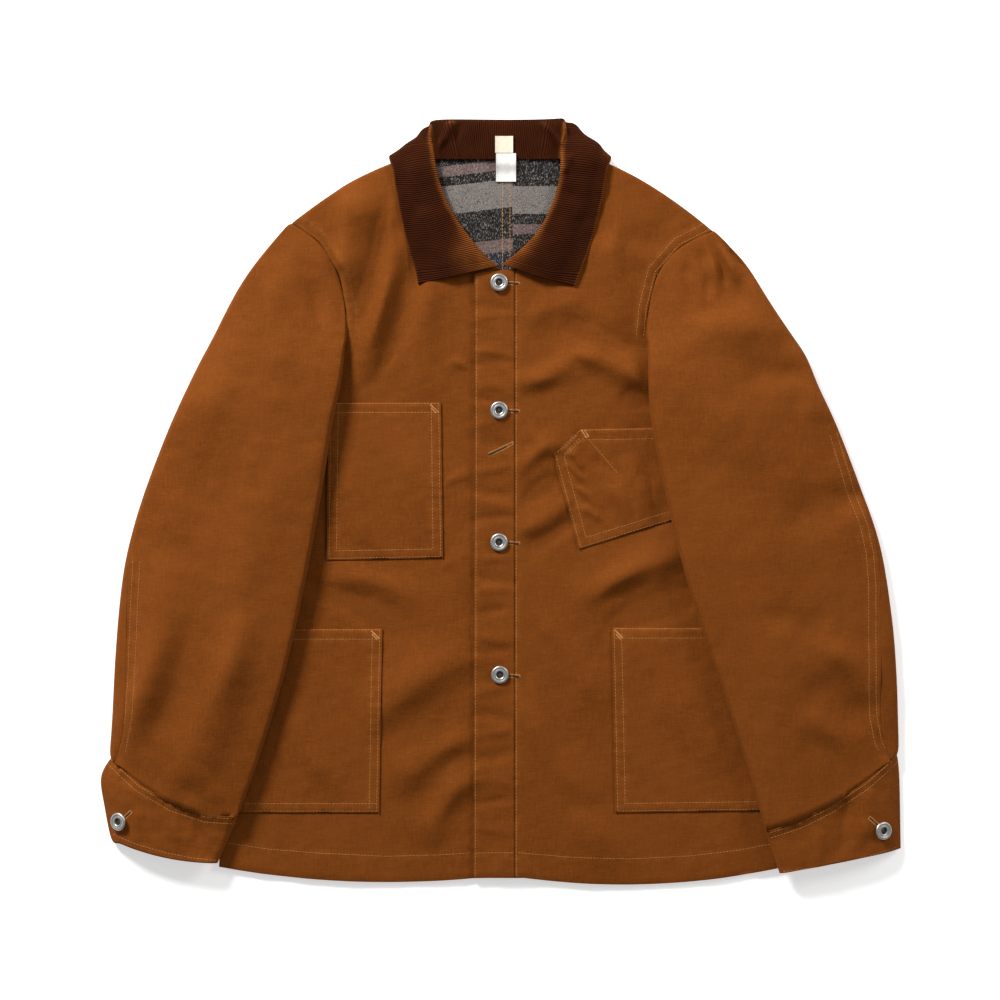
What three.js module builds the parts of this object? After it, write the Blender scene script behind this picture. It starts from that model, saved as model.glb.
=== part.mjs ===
// Chore jacket laid flat on its back, fronts buttoned, sleeves folded down over the fronts.
// Millimetres. The jacket lies on z = 0, its collar points along +Y and its wearer's left is +X.
// The origin is on the surface under the middle of the jacket.
import * as THREE from 'three';

const { lerp, smoothstep } = THREE.MathUtils;

// ---------- driving sizes ----------
const SEAM_GAP = 0.4; // between pieces sewn or laid face to face
const LINING_GAP = 0.3;
const PLACKET_GAP = 0.5;
const POCKET_GAP = 0.55;
const BODY_WALL = 2.4; // duck canvas with its blanket lining
const SLEEVE_WALL = 2.2; // duck canvas with its sleeve lining
const CUFF_WALL = 2.6; // two layers of canvas
const PLACKET_WALL = 2.6;
const POCKET_WALL = 1.2;
const LINING_WALL = 1.2;
const LABEL_WALL = 1;
const COLLAR_WALL = 2.2;
const BUTTON_DIAMETER = 17;
const BUTTON_SEGMENTS = 20;
const FALL_ROOM = 2.9; // the back panel lies this much higher over the collar's fall
const LINING_ROOM = 2; // the fronts lie this much higher over the tip of the neck lining
const PLACKET_STEP = 2.6; // the left front climbs this much to meet the placket
const SLEEVE_ROOM = 2.3; // under-sleeve above the fronts, so that the pockets pass beneath
const NECK_TIP = { x: 0, y: 222, reach: 42 };
const FALL = { fromY: 258, toY: 288, fromX: 108, toX: 140, outerSpread: 20 };
const PLACKET_SLOPE = { startX: 4, fromX: 16, toX: 60 }; // where that climb eases out again
const PLACKET_EDGE_X = 3;
const SLEEVE_EASE = { from: 20, to: 46 }; // beside the body, where a sleeve comes down to the floor
const ARMHOLE_EASE = { fromY: 126, toY: 172 }; // where a sleeve climbs onto the fronts
const LEAST_SLEEVE = 5.2; // full thickness of the two walls where a sleeve closes up

// ---------- cut lines ----------
// A row runs from a panel's side (armhole, then side seam) to its front edge.
// bow lifts the middle of the row; steps is the number of strips down to the next row, one
// where it isn't given.
const RIGHT_FRONT_ROWS = [
  { sideX: -200, sideY: 262.5, edgeX: -74, edgeY: 329, bow: 9, steps: 2 },
  { sideX: -174, sideY: 244, edgeX: -78, edgeY: 299, bow: 4, steps: 2 },
  { sideX: -155, sideY: 213, edgeX: -63.5, edgeY: 257, bow: 0, steps: 2 },
  { sideX: -148, sideY: 177, edgeX: -19, edgeY: 225, bow: 0 },
  { sideX: -148, sideY: 155, edgeX: 3, edgeY: 217, bow: 0, steps: 2 },
  { sideX: -148, sideY: 118, edgeX: 3, edgeY: 158, bow: 0 },
  { sideX: -187, sideY: 101, edgeX: 3, edgeY: 130, bow: 0 },
  { sideX: -228, sideY: 82, edgeX: 3, edgeY: 101, bow: 0 },
  { sideX: -254.5, sideY: 55.5, edgeX: 3, edgeY: 70, bow: 0, steps: 8 },
  { sideX: -262, sideY: -153, edgeX: 3, edgeY: -146, bow: 0, steps: 8 },
  { sideX: -269.5, sideY: -351, edgeX: 3, edgeY: -358.5, bow: -10.5 },
];
const LEFT_FRONT_ROWS = [
  { sideX: 200.5, sideY: 255, edgeX: 71, edgeY: 330, bow: 9, steps: 2 },
  { sideX: 170, sideY: 240, edgeX: 75, edgeY: 299, bow: 4, steps: 2 },
  { sideX: 148, sideY: 215, edgeX: 61, edgeY: 257, bow: 0, steps: 2 },
  { sideX: 139.5, sideY: 181, edgeX: 27, edgeY: 225, bow: 0 },
  { sideX: 137, sideY: 160, edgeX: 12.4, edgeY: 217, bow: 0, steps: 2 },
  { sideX: 137, sideY: 126, edgeX: 12.4, edgeY: 158, bow: 0 },
  { sideX: 179, sideY: 105, edgeX: 12.4, edgeY: 130, bow: 0 },
  { sideX: 228, sideY: 82, edgeX: 12.4, edgeY: 101, bow: 0 },
  { sideX: 254.5, sideY: 55.5, edgeX: 12.4, edgeY: 70, bow: 0, steps: 8 },
  { sideX: 262, sideY: -153, edgeX: 12.4, edgeY: -146, bow: 0, steps: 8 },
  { sideX: 269, sideY: -351, edgeX: 12.4, edgeY: -360, bow: -12 },
];
const BACK_ROWS = [
  { sideX: -83, sideY: 324.5, edgeX: 80, edgeY: 324.5, bow: 0, steps: 2 },
  { sideX: -141, sideY: 299, edgeX: 138, edgeY: 296, bow: 0, steps: 2 },
  { sideX: -200, sideY: 262.5, edgeX: 200.5, edgeY: 255, bow: 0 },
  { sideX: -174, sideY: 244, edgeX: 170, edgeY: 240, bow: 0 },
  { sideX: -155, sideY: 213, edgeX: 148, edgeY: 215, bow: 0 },
  { sideX: -148, sideY: 177, edgeX: 139.5, edgeY: 181, bow: 0 },
  { sideX: -148, sideY: 118, edgeX: 137, edgeY: 126, bow: 0 },
  { sideX: -187, sideY: 101, edgeX: 179, edgeY: 105, bow: 0 },
  { sideX: -228, sideY: 82, edgeX: 228, edgeY: 82, bow: 0 },
  { sideX: -254.5, sideY: 55.5, edgeX: 254.5, edgeY: 55.5, bow: 0, steps: 6 },
  { sideX: -269, sideY: -348.5, edgeX: 268.5, edgeY: -349.5, bow: -13 },
];
const PLACKET_ROWS = [
  { sideX: -26, sideY: 214.5, edgeX: 11, edgeY: 218.5, bow: 0, steps: 24 },
  { sideX: -27.5, sideY: -361.5, edgeX: 11, edgeY: -361, bow: 0 },
];
const LINING_ROWS = [
  { sideX: -59, sideY: 323, edgeX: 56, edgeY: 323, bow: 0 },
  { sideX: -74, sideY: 304, edgeX: 70, edgeY: 304, bow: 0 },
  { sideX: -70, sideY: 278, edgeX: 68, edgeY: 278, bow: 0 },
  { sideX: -56, sideY: 253, edgeX: 55, edgeY: 253, bow: 0 },
  { sideX: -24, sideY: 231, edgeX: 28, edgeY: 231, bow: 0 },
  { sideX: -10, sideY: 208, edgeX: 12, edgeY: 208, bow: 0 },
];
const CENTRE_BACK_SEAM_X = 10;

// Pocket rows run from the pocket's left to its right as the jacket is seen.
const POCKETS = {
  chest_pocket_right: [
    { sideX: -164.5, sideY: 91.5, edgeX: -59, edgeY: 91.5, bow: 0, steps: 4 },
    { sideX: -166, sideY: -58.5, edgeX: -57, edgeY: -56.5, bow: 0 },
  ],
  chest_pocket_left: [
    { sideX: 74, sideY: 66, edgeX: 169, edgeY: 68, bow: 0 },
    { sideX: 49.5, sideY: 43, edgeX: 173, edgeY: 44, bow: 0, steps: 3 },
    { sideX: 74, sideY: -48, edgeX: 182.5, edgeY: -14.5, bow: 0 },
  ],
  hip_pocket_right: [
    { sideX: -254, sideY: -124, edgeX: -115, edgeY: -124, bow: 0, steps: 5 },
    { sideX: -254, sideY: -299, edgeX: -118, edgeY: -299, bow: 0 },
  ],
  hip_pocket_left: [
    { sideX: 105.5, sideY: -123, edgeX: 248, edgeY: -123, bow: 0, steps: 5 },
    { sideX: 109, sideY: -299, edgeX: 252, edgeY: -297, bow: 0 },
  ],
};

// A sleeve row runs from the outer fold to the inner fold; rim, loft and inner are the
// sleeve's full thickness at the outer fold, in the middle and at the inner fold. seam is how
// far inside the outer fold the back sleeve seam shows.
const RIGHT_SLEEVE_ROWS = [
  { outX: -207, outY: 258, inX: -201.4, inY: 262.5, bow: 0, rim: 5.2, loft: 5.2, inner: 5.2, seam: 2.5 },
  { outX: -230, outY: 230.5, inX: -175.4, inY: 243.6, bow: 0, rim: 9, loft: 9, inner: 6, seam: 3 },
  { outX: -253, outY: 197, inX: -156.4, inY: 213, bow: 0, rim: 11, loft: 13, inner: 6.4, seam: 3 },
  { outX: -273.5, outY: 156.5, inX: -149.4, inY: 177, bow: 0, rim: 12, loft: 17, inner: 8, seam: 3 },
  { outX: -286, outY: 133.5, inX: -149.4, inY: 145, bow: 0, rim: 12, loft: 19, inner: 11, seam: 3 },
  { outX: -298.5, outY: 108, inX: -152, inY: 112.5, bow: 0, rim: 12, loft: 21, inner: 15, seam: 3 },
  { outX: -314, outY: 74.5, inX: -159.5, inY: 76.5, bow: 0, rim: 12, loft: 22, inner: 17, seam: 3, steps: 2 },
  { outX: -341, outY: 4.5, inX: -173, inY: -7, bow: 0, rim: 12, loft: 22, inner: 17, seam: 3.5, steps: 2 },
  { outX: -359.5, outY: -64, inX: -190, inY: -96.5, bow: 0, rim: 12, loft: 22, inner: 16, seam: 5.5, steps: 2 },
  { outX: -367.5, outY: -139, inX: -210, inY: -180, bow: 0, rim: 12, loft: 22, inner: 15, seam: 11.5, steps: 2 },
  { outX: -371.5, outY: -216, inX: -234.5, inY: -258, bow: 4, rim: 11, loft: 20, inner: 14, seam: 13 },
  { outX: -374, outY: -245.5, inX: -250.5, inY: -301, bow: 15, rim: 10, loft: 18, inner: 13, seam: 7 },
];
const LEFT_SLEEVE_ROWS = [
  { outX: 206.5, outY: 250.5, inX: 201.9, inY: 255, bow: 0, rim: 5.2, loft: 5.2, inner: 5.2, seam: 2.5 },
  { outX: 230.5, outY: 226.5, inX: 171.4, inY: 239.6, bow: 0, rim: 9, loft: 9, inner: 6, seam: 3 },
  { outX: 250, outY: 195, inX: 149.4, inY: 215, bow: 0, rim: 11, loft: 13, inner: 6.4, seam: 3 },
  { outX: 274.5, outY: 158, inX: 140.9, inY: 181, bow: 0, rim: 12, loft: 17, inner: 8, seam: 3 },
  { outX: 290, outY: 134.5, inX: 138.4, inY: 155, bow: 0, rim: 12, loft: 19, inner: 11, seam: 3 },
  { outX: 302, outY: 105, inX: 138.4, inY: 124, bow: 0, rim: 12, loft: 21, inner: 15, seam: 3 },
  { outX: 317, outY: 73.5, inX: 139.8, inY: 86, bow: 0, rim: 12, loft: 22, inner: 17, seam: 3, steps: 2 },
  { outX: 342.5, outY: 8, inX: 154.8, inY: 4.5, bow: 0, rim: 12, loft: 22, inner: 17, seam: 3, steps: 2 },
  { outX: 362, outY: -52.5, inX: 177.7, inY: -87, bow: 0, rim: 12, loft: 22, inner: 16, seam: 5.5, steps: 2 },
  { outX: 373.5, outY: -134.5, inX: 206, inY: -172.5, bow: 0, rim: 12, loft: 22, inner: 15, seam: 14, steps: 2 },
  { outX: 377, outY: -210, inX: 233, inY: -256, bow: 3, rim: 11, loft: 20, inner: 14, seam: 18 },
  { outX: 378, outY: -242, inX: 250, inY: -315, bow: 10, rim: 10, loft: 18, inner: 13, seam: 11 },
];
const RIGHT_CUFF_ROWS = [
  { outX: -374, outY: -246.8, inX: -250.5, inY: -302.2, bow: 15 },
  { outX: -383, outY: -265, inX: -257.5, inY: -317, bow: 11 },
  { outX: -379.5, outY: -290, inX: -263, inY: -330, bow: 8.5 },
  { outX: -373, outY: -323.5, inX: -270, inY: -345.5, bow: 5.5 },
];
const LEFT_CUFF_ROWS = [
  { outX: 378, outY: -243.2, inX: 250, inY: -316.2, bow: 10 },
  { outX: 379.5, outY: -270, inX: 254.5, inY: -329, bow: 6, steps: 2 },
  { outX: 380.5, outY: -333, inX: 263.5, inY: -355.5, bow: 0.5 },
];

// Soft folds in the fronts, each a ridge from one point to another.
const FRONT_FOLDS = [
  { fromX: -125, fromY: 280, toX: -140, toY: 160, spread: 24, rise: 2.4 },
  { fromX: -112, fromY: 215, toX: -126, toY: 130, spread: 20, rise: 1.8 },
  { fromX: -110, fromY: -195, toX: -38, toY: -140, spread: 24, rise: 2 },
  { fromX: -90, fromY: -240, toX: -32, toY: -200, spread: 22, rise: 1.6 },
  { fromX: -60, fromY: -320, toX: -32, toY: -270, spread: 22, rise: 1.4 },
  { fromX: -160, fromY: -95, toX: -70, toY: -115, spread: 24, rise: 1.6 },
  { fromX: 110, fromY: 205, toX: 60, toY: 60, spread: 28, rise: 2 },
  { fromX: 132, fromY: 120, toX: 100, toY: 85, spread: 24, rise: 1.8 },
  { fromX: 150, fromY: -60, toX: 60, toY: -110, spread: 26, rise: 1.8 },
  { fromX: 60, fromY: -150, toX: 70, toY: -330, spread: 30, rise: 1.4 },
];

// A collar row is one section through the folded band, from its neck seam over the roll
// line to its outer edge. Each point is [x, y, height of the middle of the cloth].
const COLLAR_ROWS = [
  { seam: [-16, 223, 8.6], roll: [-4.5, 221, 10.6], mid: [-42, 212.5, 12.4], edge: [-80, 204.5, 7.4] },
  { seam: [-25, 228, 8.6], roll: [-12.5, 226, 10.8], mid: [-49, 220, 12.8], edge: [-82.5, 217, 7.4] },
  { seam: [-41, 236, 8.2], roll: [-26.5, 241, 10.6], mid: [-58, 234.5, 12.8], edge: [-88, 234, 7.6] },
  { seam: [-60, 252, 8.4], roll: [-42, 262, 10.8], mid: [-68, 253.5, 13.4], edge: [-93, 255, 9.2] },
  { seam: [-72, 275, 10], roll: [-53, 281, 12.2], mid: [-76, 275.5, 14.8], edge: [-97.5, 277, 11] },
  { seam: [-77, 295, 10.8], roll: [-60.5, 301, 13], mid: [-82, 297.5, 15.4], edge: [-101.5, 298, 11.2] },
  { seam: [-76, 309, 10.8], roll: [-64.5, 319, 13.2], mid: [-85.5, 315.5, 15.2], edge: [-103.5, 313, 11.2] },
  { seam: [-70, 320, 10.6], roll: [-67, 337, 12.8], mid: [-88, 334.5, 10], edge: [-107.5, 324, 8] },
  { seam: [-66, 322.5, 10], roll: [-68, 344, 12], mid: [-85.5, 340.5, 7], edge: [-99.5, 326, 1.3] },
  { seam: [-61, 323, 9.4], roll: [-68.5, 350, 11], mid: [-80.5, 345, 4], edge: [-84, 310, 1.2] },
  { seam: [-58, 323, 9], roll: [-67.5, 354.8, 8.6], mid: [-75.5, 350, 2.4], edge: [-77, 304, 1.2] },
  { seam: [-54, 323, 8.6], roll: [-66, 358.5, 6], mid: [-68, 331, 1.2], edge: [-70, 298, 1.2] },
  { seam: [-41, 323, 8.4], roll: [-49, 360, 5], mid: [-51, 326.5, 1.2], edge: [-52, 293, 1.2] },
  { seam: [-2.5, 323, 8.4], roll: [-2.5, 359.5, 5], mid: [-2.5, 326.5, 1.2], edge: [-2.5, 293, 1.2] },
  { seam: [36, 323, 8.4], roll: [42, 360, 5], mid: [44.5, 326.5, 1.2], edge: [45.5, 293, 1.2] },
  { seam: [48, 323, 8.6], roll: [57, 361, 6], mid: [61.5, 331, 1.2], edge: [63.5, 298, 1.2] },
  { seam: [51.5, 323, 9], roll: [59, 357.5, 8.6], mid: [69.5, 355.5, 2.2], edge: [71, 304, 1.2] },
  { seam: [55, 323, 9.4], roll: [60, 352.5, 11], mid: [76, 349.5, 3.4], edge: [79.5, 310, 1.2] },
  { seam: [61, 322.5, 10], roll: [59, 345, 12], mid: [83.5, 343, 6], edge: [95.5, 326, 1.2] },
  { seam: [65.5, 320, 10.6], roll: [57, 337, 12.8], mid: [88.5, 335.5, 10], edge: [104, 323.5, 7.4] },
  { seam: [73, 308, 10.8], roll: [57, 318.5, 13.2], mid: [81.5, 316, 15.2], edge: [99.5, 313, 11.2] },
  { seam: [74, 295, 10.8], roll: [55, 300.5, 13], mid: [77, 297.5, 15.4], edge: [97.5, 298, 11.2] },
  { seam: [70, 274, 10], roll: [48.5, 279, 12.2], mid: [72, 274.5, 14.6], edge: [93, 277, 10.4] },
  { seam: [58, 251, 8.8], roll: [37, 256, 11], mid: [62, 251.5, 13.2], edge: [87.5, 255, 8.8] },
  { seam: [43, 236, 9.4], roll: [22, 239, 11.2], mid: [51, 230.5, 13.2], edge: [81, 232.5, 7.8] },
  { seam: [25, 228, 9.6], roll: [7.5, 226.5, 11.4], mid: [42, 217, 13], edge: [74, 215, 7.8] },
  { seam: [14, 224, 9.8], roll: [1.5, 222, 11.4], mid: [36, 210.5, 12.8], edge: [69.5, 203, 7.8] },
];

const LABELS = [
  { name: 'neck_label', left: -6.5, right: 10.5, top: 344.5, bottom: 328.6 },
  { name: 'size_label', left: -5.7, right: 13.3, top: 328.1, bottom: 301.5 },
];
const LABEL_OVER_STAND = 9.9;
const LABEL_OVER_LINING = 7;
const LABEL_EASE = { fromY: 308, toY: 319 };

const FRONT_BUTTONS = [
  { name: 'button_front_1', x: -2.8, y: 205.5 },
  { name: 'button_front_2', x: -2.8, y: 84 },
  { name: 'button_front_3', x: -2.8, y: -41.5 },
  { name: 'button_front_4', x: -2, y: -167.5 },
];
const CUFF_BUTTONS = [
  { name: 'button_cuff_right', x: -363, y: -306.5, lean: -0.5, height: 13.9 },
  { name: 'button_cuff_left', x: 361, y: -315, lean: 0.4, height: 14.6 },
];

// ---------- colours ----------
const canvas = new THREE.MeshStandardMaterial({ color: '#8a4d20', roughness: 0.85, metalness: 0 });
const corduroy = new THREE.MeshStandardMaterial({ color: '#3c1a0c', roughness: 0.9, metalness: 0 });
const blanket = new THREE.MeshStandardMaterial({ color: '#7d7672', roughness: 0.95, metalness: 0 });
const labelTape = new THREE.MeshStandardMaterial({ color: '#e9e2d2', roughness: 0.8, metalness: 0 });
const buttonMetal = new THREE.MeshStandardMaterial({ color: '#b4b2ae', roughness: 0.35, metalness: 0.9 });

const jacket = new THREE.Group();

function addPiece(name, geometry, material) {
  const mesh = new THREE.Mesh(geometry, material);
  mesh.name = name;
  jacket.add(mesh);
  return mesh;
}

// ---------- closed walls from grids of points ----------
function signedVolume(points, triangles) {
  const cross = new THREE.Vector3();
  let total = 0;
  for (const [a, b, c] of triangles) {
    total += points[a].dot(cross.crossVectors(points[b], points[c]));
  }
  return total / 6;
}

// The wall between two grids of the same rows and columns, closed along its four edges.
function wallBetween(upper, lower) {
  const rows = upper.length;
  const columns = upper[0].length;
  const points = [...upper.flat(), ...lower.flat()];
  const below = rows * columns;
  const at = (row, column) => row * columns + column;
  const triangles = [];
  const addQuad = (a, b, c, d) => triangles.push([a, b, c], [a, c, d]);
  for (let i = 0; i + 1 < rows; i += 1) {
    for (let j = 0; j + 1 < columns; j += 1) {
      const corners = [at(i, j), at(i, j + 1), at(i + 1, j + 1), at(i + 1, j)];
      addQuad(...corners);
      addQuad(...corners.map((corner) => corner + below).reverse());
    }
  }
  const acrossRow = Array.from({ length: columns - 1 }, (_, j) => j);
  const downColumn = Array.from({ length: rows - 1 }, (_, i) => i);
  const rim = [
    ...acrossRow.map((j) => at(0, j)),
    ...downColumn.map((i) => at(i, columns - 1)),
    ...acrossRow.map((j) => at(rows - 1, columns - 1 - j)),
    ...downColumn.map((i) => at(rows - 1 - i, 0)),
  ];
  rim.forEach((corner, k) => {
    const next = rim[(k + 1) % rim.length];
    addQuad(next, corner, corner + below, next + below);
  });
  if (signedVolume(points, triangles) < 0) triangles.forEach((triangle) => triangle.reverse());
  const geometry = new THREE.BufferGeometry();
  const positions = points.flatMap((point) => point.toArray());
  geometry.setAttribute('position', new THREE.Float32BufferAttribute(positions, 3));
  geometry.setIndex(triangles.flat());
  geometry.computeVertexNormals();
  return geometry;
}

// A value on the smooth curve through four neighbours, between the second and the third.
function curve(before, from, to, after, share) {
  const leave = (to - before) / 2;
  const arrive = (after - from) / 2;
  const bend = lerp(leave - (to - from), to - from - arrive, share);
  return lerp(from, to, share) + share * (1 - share) * bend;
}

// Rows of a cut-line table, with the strips between them filled in. A rounded table's
// edges curve through its rows, the others run straight from row to row.
function fillRows(table, rounded = false) {
  const filled = [];
  table.forEach((row, k) => {
    const next = table[k + 1] ?? row;
    const [before, after] = rounded ? [table[k - 1] ?? row, table[k + 2] ?? next] : [row, next];
    const steps = row.steps ?? 1;
    for (let step = 0; step < steps; step += 1) {
      const share = step / steps;
      const between = Object.keys(row).map((key) => {
        const straight = lerp(row[key], next[key], share);
        const value = rounded ? curve(before[key], row[key], next[key], after[key], share) : straight;
        return [key, value];
      });
      filled.push(Object.fromEntries(between));
    }
  });
  return filled;
}

// Shares of a row's length, with an extra column close to each end.
function columnShares(count, edgeShare = 0.012) {
  const inner = Array.from({ length: count - 1 }, (_, k) => (k + 1) / count);
  return [0, edgeShare, ...inner, 1 - edgeShare, 1];
}

// A panel's plan as a grid of [x, y] points.
function planGrid(table, shares) {
  return fillRows(table).map((row) =>
    shares.map((share) => [
      lerp(row.sideX, row.edgeX, share),
      lerp(row.sideY, row.edgeY, share) + row.bow * 4 * share * (1 - share),
    ]),
  );
}

// A panel that lies on the height function, with a wall of the given thickness.
function laidPanel(plan, underside, wall) {
  const lower = plan.map((row) => row.map(([x, y]) => new THREE.Vector3(x, y, underside(x, y))));
  const upper = lower.map((row) => row.map((point) => point.clone().setZ(point.z + wall)));
  return wallBetween(upper, lower);
}

// ---------- heights of the layers ----------
function foldHeight(x, y) {
  let height = 0;
  for (const fold of FRONT_FOLDS) {
    const runX = fold.toX - fold.fromX;
    const runY = fold.toY - fold.fromY;
    const along = ((x - fold.fromX) * runX + (y - fold.fromY) * runY) / (runX ** 2 + runY ** 2);
    const nearest = THREE.MathUtils.clamp(along, 0, 1);
    const offset = Math.hypot(x - fold.fromX - nearest * runX, y - fold.fromY - nearest * runY);
    height = Math.max(height, fold.rise * Math.exp(-((offset / fold.spread) ** 2)));
  }
  return height;
}

// Rise over the collar's fall. spread starts the rise that much further out, for outer layers.
function fallRise(x, y, spread = 0) {
  const alongY = smoothstep(y, FALL.fromY - spread, FALL.toY - spread);
  const pastShoulder = smoothstep(Math.abs(x), FALL.fromX + spread, FALL.toX + spread);
  return FALL_ROOM * alongY * (1 - pastShoulder);
}

const backTop = (x, y) => fallRise(x, y, FALL.outerSpread) + BODY_WALL;

function frontUnderside(x, y) {
  const fromTip = Math.hypot(x - NECK_TIP.x, y - NECK_TIP.y) / NECK_TIP.reach;
  const overLining = LINING_ROOM * Math.exp(-(fromTip ** 2));
  const easedOut = smoothstep(x, PLACKET_SLOPE.fromX, PLACKET_SLOPE.toX);
  const besidePlacket = x > PLACKET_SLOPE.startX ? PLACKET_STEP * (1 - easedOut) : 0;
  return backTop(x, y) + SEAM_GAP + overLining + besidePlacket + foldHeight(x, y);
}

const frontTop = (x, y) => frontUnderside(x, y) + BODY_WALL;

// The placket lies on the right front, and keeps its height past that front's edge.
const placketUnderside = (x, y) => frontTop(Math.min(x, PLACKET_EDGE_X), y) + PLACKET_GAP;
const pocketUnderside = (x, y) => frontTop(x, y) + POCKET_GAP;

// Where a sleeve lies over the body it rides up onto the fronts; beside it, it lies on the floor.
function sleeveFloor(x, y, rows) {
  const outward = Math.sign(x);
  const below = rows.findIndex((row) => row.sideY < y);
  const next = rows[below === -1 ? rows.length - 1 : Math.max(below, 1)];
  const previous = rows[below === -1 ? rows.length - 2 : Math.max(below, 1) - 1];
  const share = THREE.MathUtils.clamp((previous.sideY - y) / (previous.sideY - next.sideY), 0, 1);
  const sideX = Math.abs(lerp(previous.sideX, next.sideX, share));
  const overBody = 1 - smoothstep(outward * x - sideX, SLEEVE_EASE.from, SLEEVE_EASE.to);
  const belowArmhole = 1 - smoothstep(y, ARMHOLE_EASE.fromY, ARMHOLE_EASE.toY);
  const inside = outward * Math.min(Math.abs(x), sideX);
  return (frontTop(inside, y) + SLEEVE_ROOM) * overBody * belowArmhole;
}

// ---------- sleeves and cuffs ----------
// One section of a sleeve as points [distance from the outer fold, height], going from the
// outer fold over the top, round the inner fold and back underneath. inset shrinks it.
function sleeveSection(row, rows, inset) {
  const width = Math.hypot(row.inX - row.outX, row.inY - row.outY);
  const roundOut = Math.min(Math.max(row.rim * 0.7, 5), width * 0.3);
  const roundIn = Math.min(Math.max(row.inner * 0.55, 5), width * 0.3);
  const placeAt = (distance) => {
    const share = distance / width;
    const bow = row.bow * 4 * share * (1 - share);
    return [lerp(row.outX, row.inX, share), lerp(row.outY, row.inY, share) - bow];
  };
  const floorAt = (distance) => sleeveFloor(...placeAt(distance), rows);
  const crown = Math.max(row.loft - (row.rim + row.inner) / 2, 0);
  const heightAt = (distance, upper) => {
    const share = distance / width;
    const floor = floorAt(distance);
    const line = lerp(floorAt(0) + row.rim, floorAt(width) + row.inner, share);
    const ceiling = Math.max(line + crown * Math.sin(Math.PI * share), floor + LEAST_SLEEVE);
    const middle = (floor + ceiling) / 2;
    const toOut = Math.min((distance - inset) / (roundOut - inset * 0.6), 1);
    const toIn = Math.min((width - inset - distance) / (roundIn - inset * 0.6), 1);
    const round = Math.sqrt(Math.max(1 - (1 - Math.min(toOut, toIn)) ** 2, 0));
    const half = ((ceiling - floor) / 2 - inset) * round;
    return upper ? middle + half : middle - half;
  };
  const seam = Math.min(Math.max(row.seam, inset + 1), width * 0.35);
  const first = lerp(inset, Math.min(seam, roundOut), 0.4);
  const last = width - roundIn + (roundIn - inset) * 0.7;
  const spanStart = Math.max(seam + width * 0.03, roundOut + 0.5);
  const inner = width - roundIn;
  const across = [0.25, 0.5, 0.75].map((share) => lerp(spanStart, inner, share));
  const over = [inset, first, seam, spanStart, ...across, inner, last, width - inset];
  const under = [last, inner, ...[...across].reverse(), spanStart, first];
  const points = [
    ...over.map((distance) => [...placeAt(distance), heightAt(distance, true)]),
    ...under.map((distance) => [...placeAt(distance), heightAt(distance, false)]),
  ];
  return points.map((point) => new THREE.Vector3(...point));
}

const RING_SEAM = 2; // the back seam's place in a section
const RING_UNDERARM = 11; // the hidden seam's place, just under the inner fold

// The stretch of a closed section from one place to another, drawn in a little at its ends.
function stretch(section, from, to) {
  const picked = [];
  for (let k = from; k !== to; k = (k + 1) % section.length) picked.push(section[k].clone());
  picked.push(section[to].clone());
  const drawIn = (end, next) => {
    const pull = next.clone().sub(end).setLength(SEAM_GAP * 0.6);
    end.add(pull);
  };
  drawIn(picked[0], picked[1]);
  drawIn(picked.at(-1), picked.at(-2));
  return picked;
}

function addSleeve(side, sleeveRows, bodyRows) {
  const filled = fillRows(sleeveRows, true);
  const outside = filled.map((row) => sleeveSection(row, bodyRows, 0));
  const inside = filled.map((row) => sleeveSection(row, bodyRows, SLEEVE_WALL));
  const part = (from, to) =>
    wallBetween(
      outside.map((section) => stretch(section, from, to)),
      inside.map((section) => stretch(section, from, to)),
    );
  addPiece(`sleeve_${side}_top`, part(RING_SEAM, RING_UNDERARM), canvas);
  addPiece(`sleeve_${side}_under`, part(RING_UNDERARM, RING_SEAM), canvas);
}

// A cuff is a band open at its outer edge: its upper end reaches the edge, and its lower
// end stops short of it underneath. Columns give the middle of the cloth.
const CUFF_SECTION = [
  { share: 0.01, height: 2.8, from: 'floor' },
  { share: 0.085, height: 9.6, from: 'floor' },
  { share: 0.19, height: 14, from: 'floor' },
  { share: 0.42, height: 17, from: 'floor' },
  { share: 0.68, height: 18, from: 'floor' },
  { share: 0.89, height: 10.8, from: 'body' },
  { share: 0.965, height: 9.2, from: 'body' },
  { share: 0.989, height: 6, from: 'body' },
  { share: 0.965, height: 2.8, from: 'body' },
  { share: 0.89, height: 1.3, from: 'body' },
  { share: 0.68, height: 1.3, from: 'body' },
  { share: 0.42, height: 1.3, from: 'body' },
  { share: 0.19, height: 1.3, from: 'body' },
  { share: 0.07, height: 1.3, from: 'body' },
];

function cuffGrid(cuffRows, bodyRows) {
  return fillRows(cuffRows).map((row) =>
    CUFF_SECTION.map(({ share, height, from }) => {
      const x = lerp(row.outX, row.inX, share);
      const y = lerp(row.outY, row.inY, share) - row.bow * 4 * share * (1 - share);
      const floor = from === 'body' ? sleeveFloor(x, y, bodyRows) : 0;
      return new THREE.Vector3(x, y, floor + height);
    }),
  );
}

// Both faces of a sheet whose middle is the grid, offset along the grid's own normals.
function sheet(grid, wall) {
  const last = grid.length - 1;
  const end = grid[0].length - 1;
  const normals = grid.map((row, i) =>
    row.map((_, j) => {
      const alongRows = grid[Math.min(i + 1, last)][j].clone().sub(grid[Math.max(i - 1, 0)][j]);
      const alongRow = grid[i][Math.min(j + 1, end)].clone().sub(grid[i][Math.max(j - 1, 0)]);
      return alongRows.cross(alongRow).normalize();
    }),
  );
  const face = (offset) =>
    grid.map((row, i) => row.map((point, j) => point.clone().addScaledVector(normals[i][j], offset)));
  return wallBetween(face(wall / 2), face(-wall / 2));
}

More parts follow.
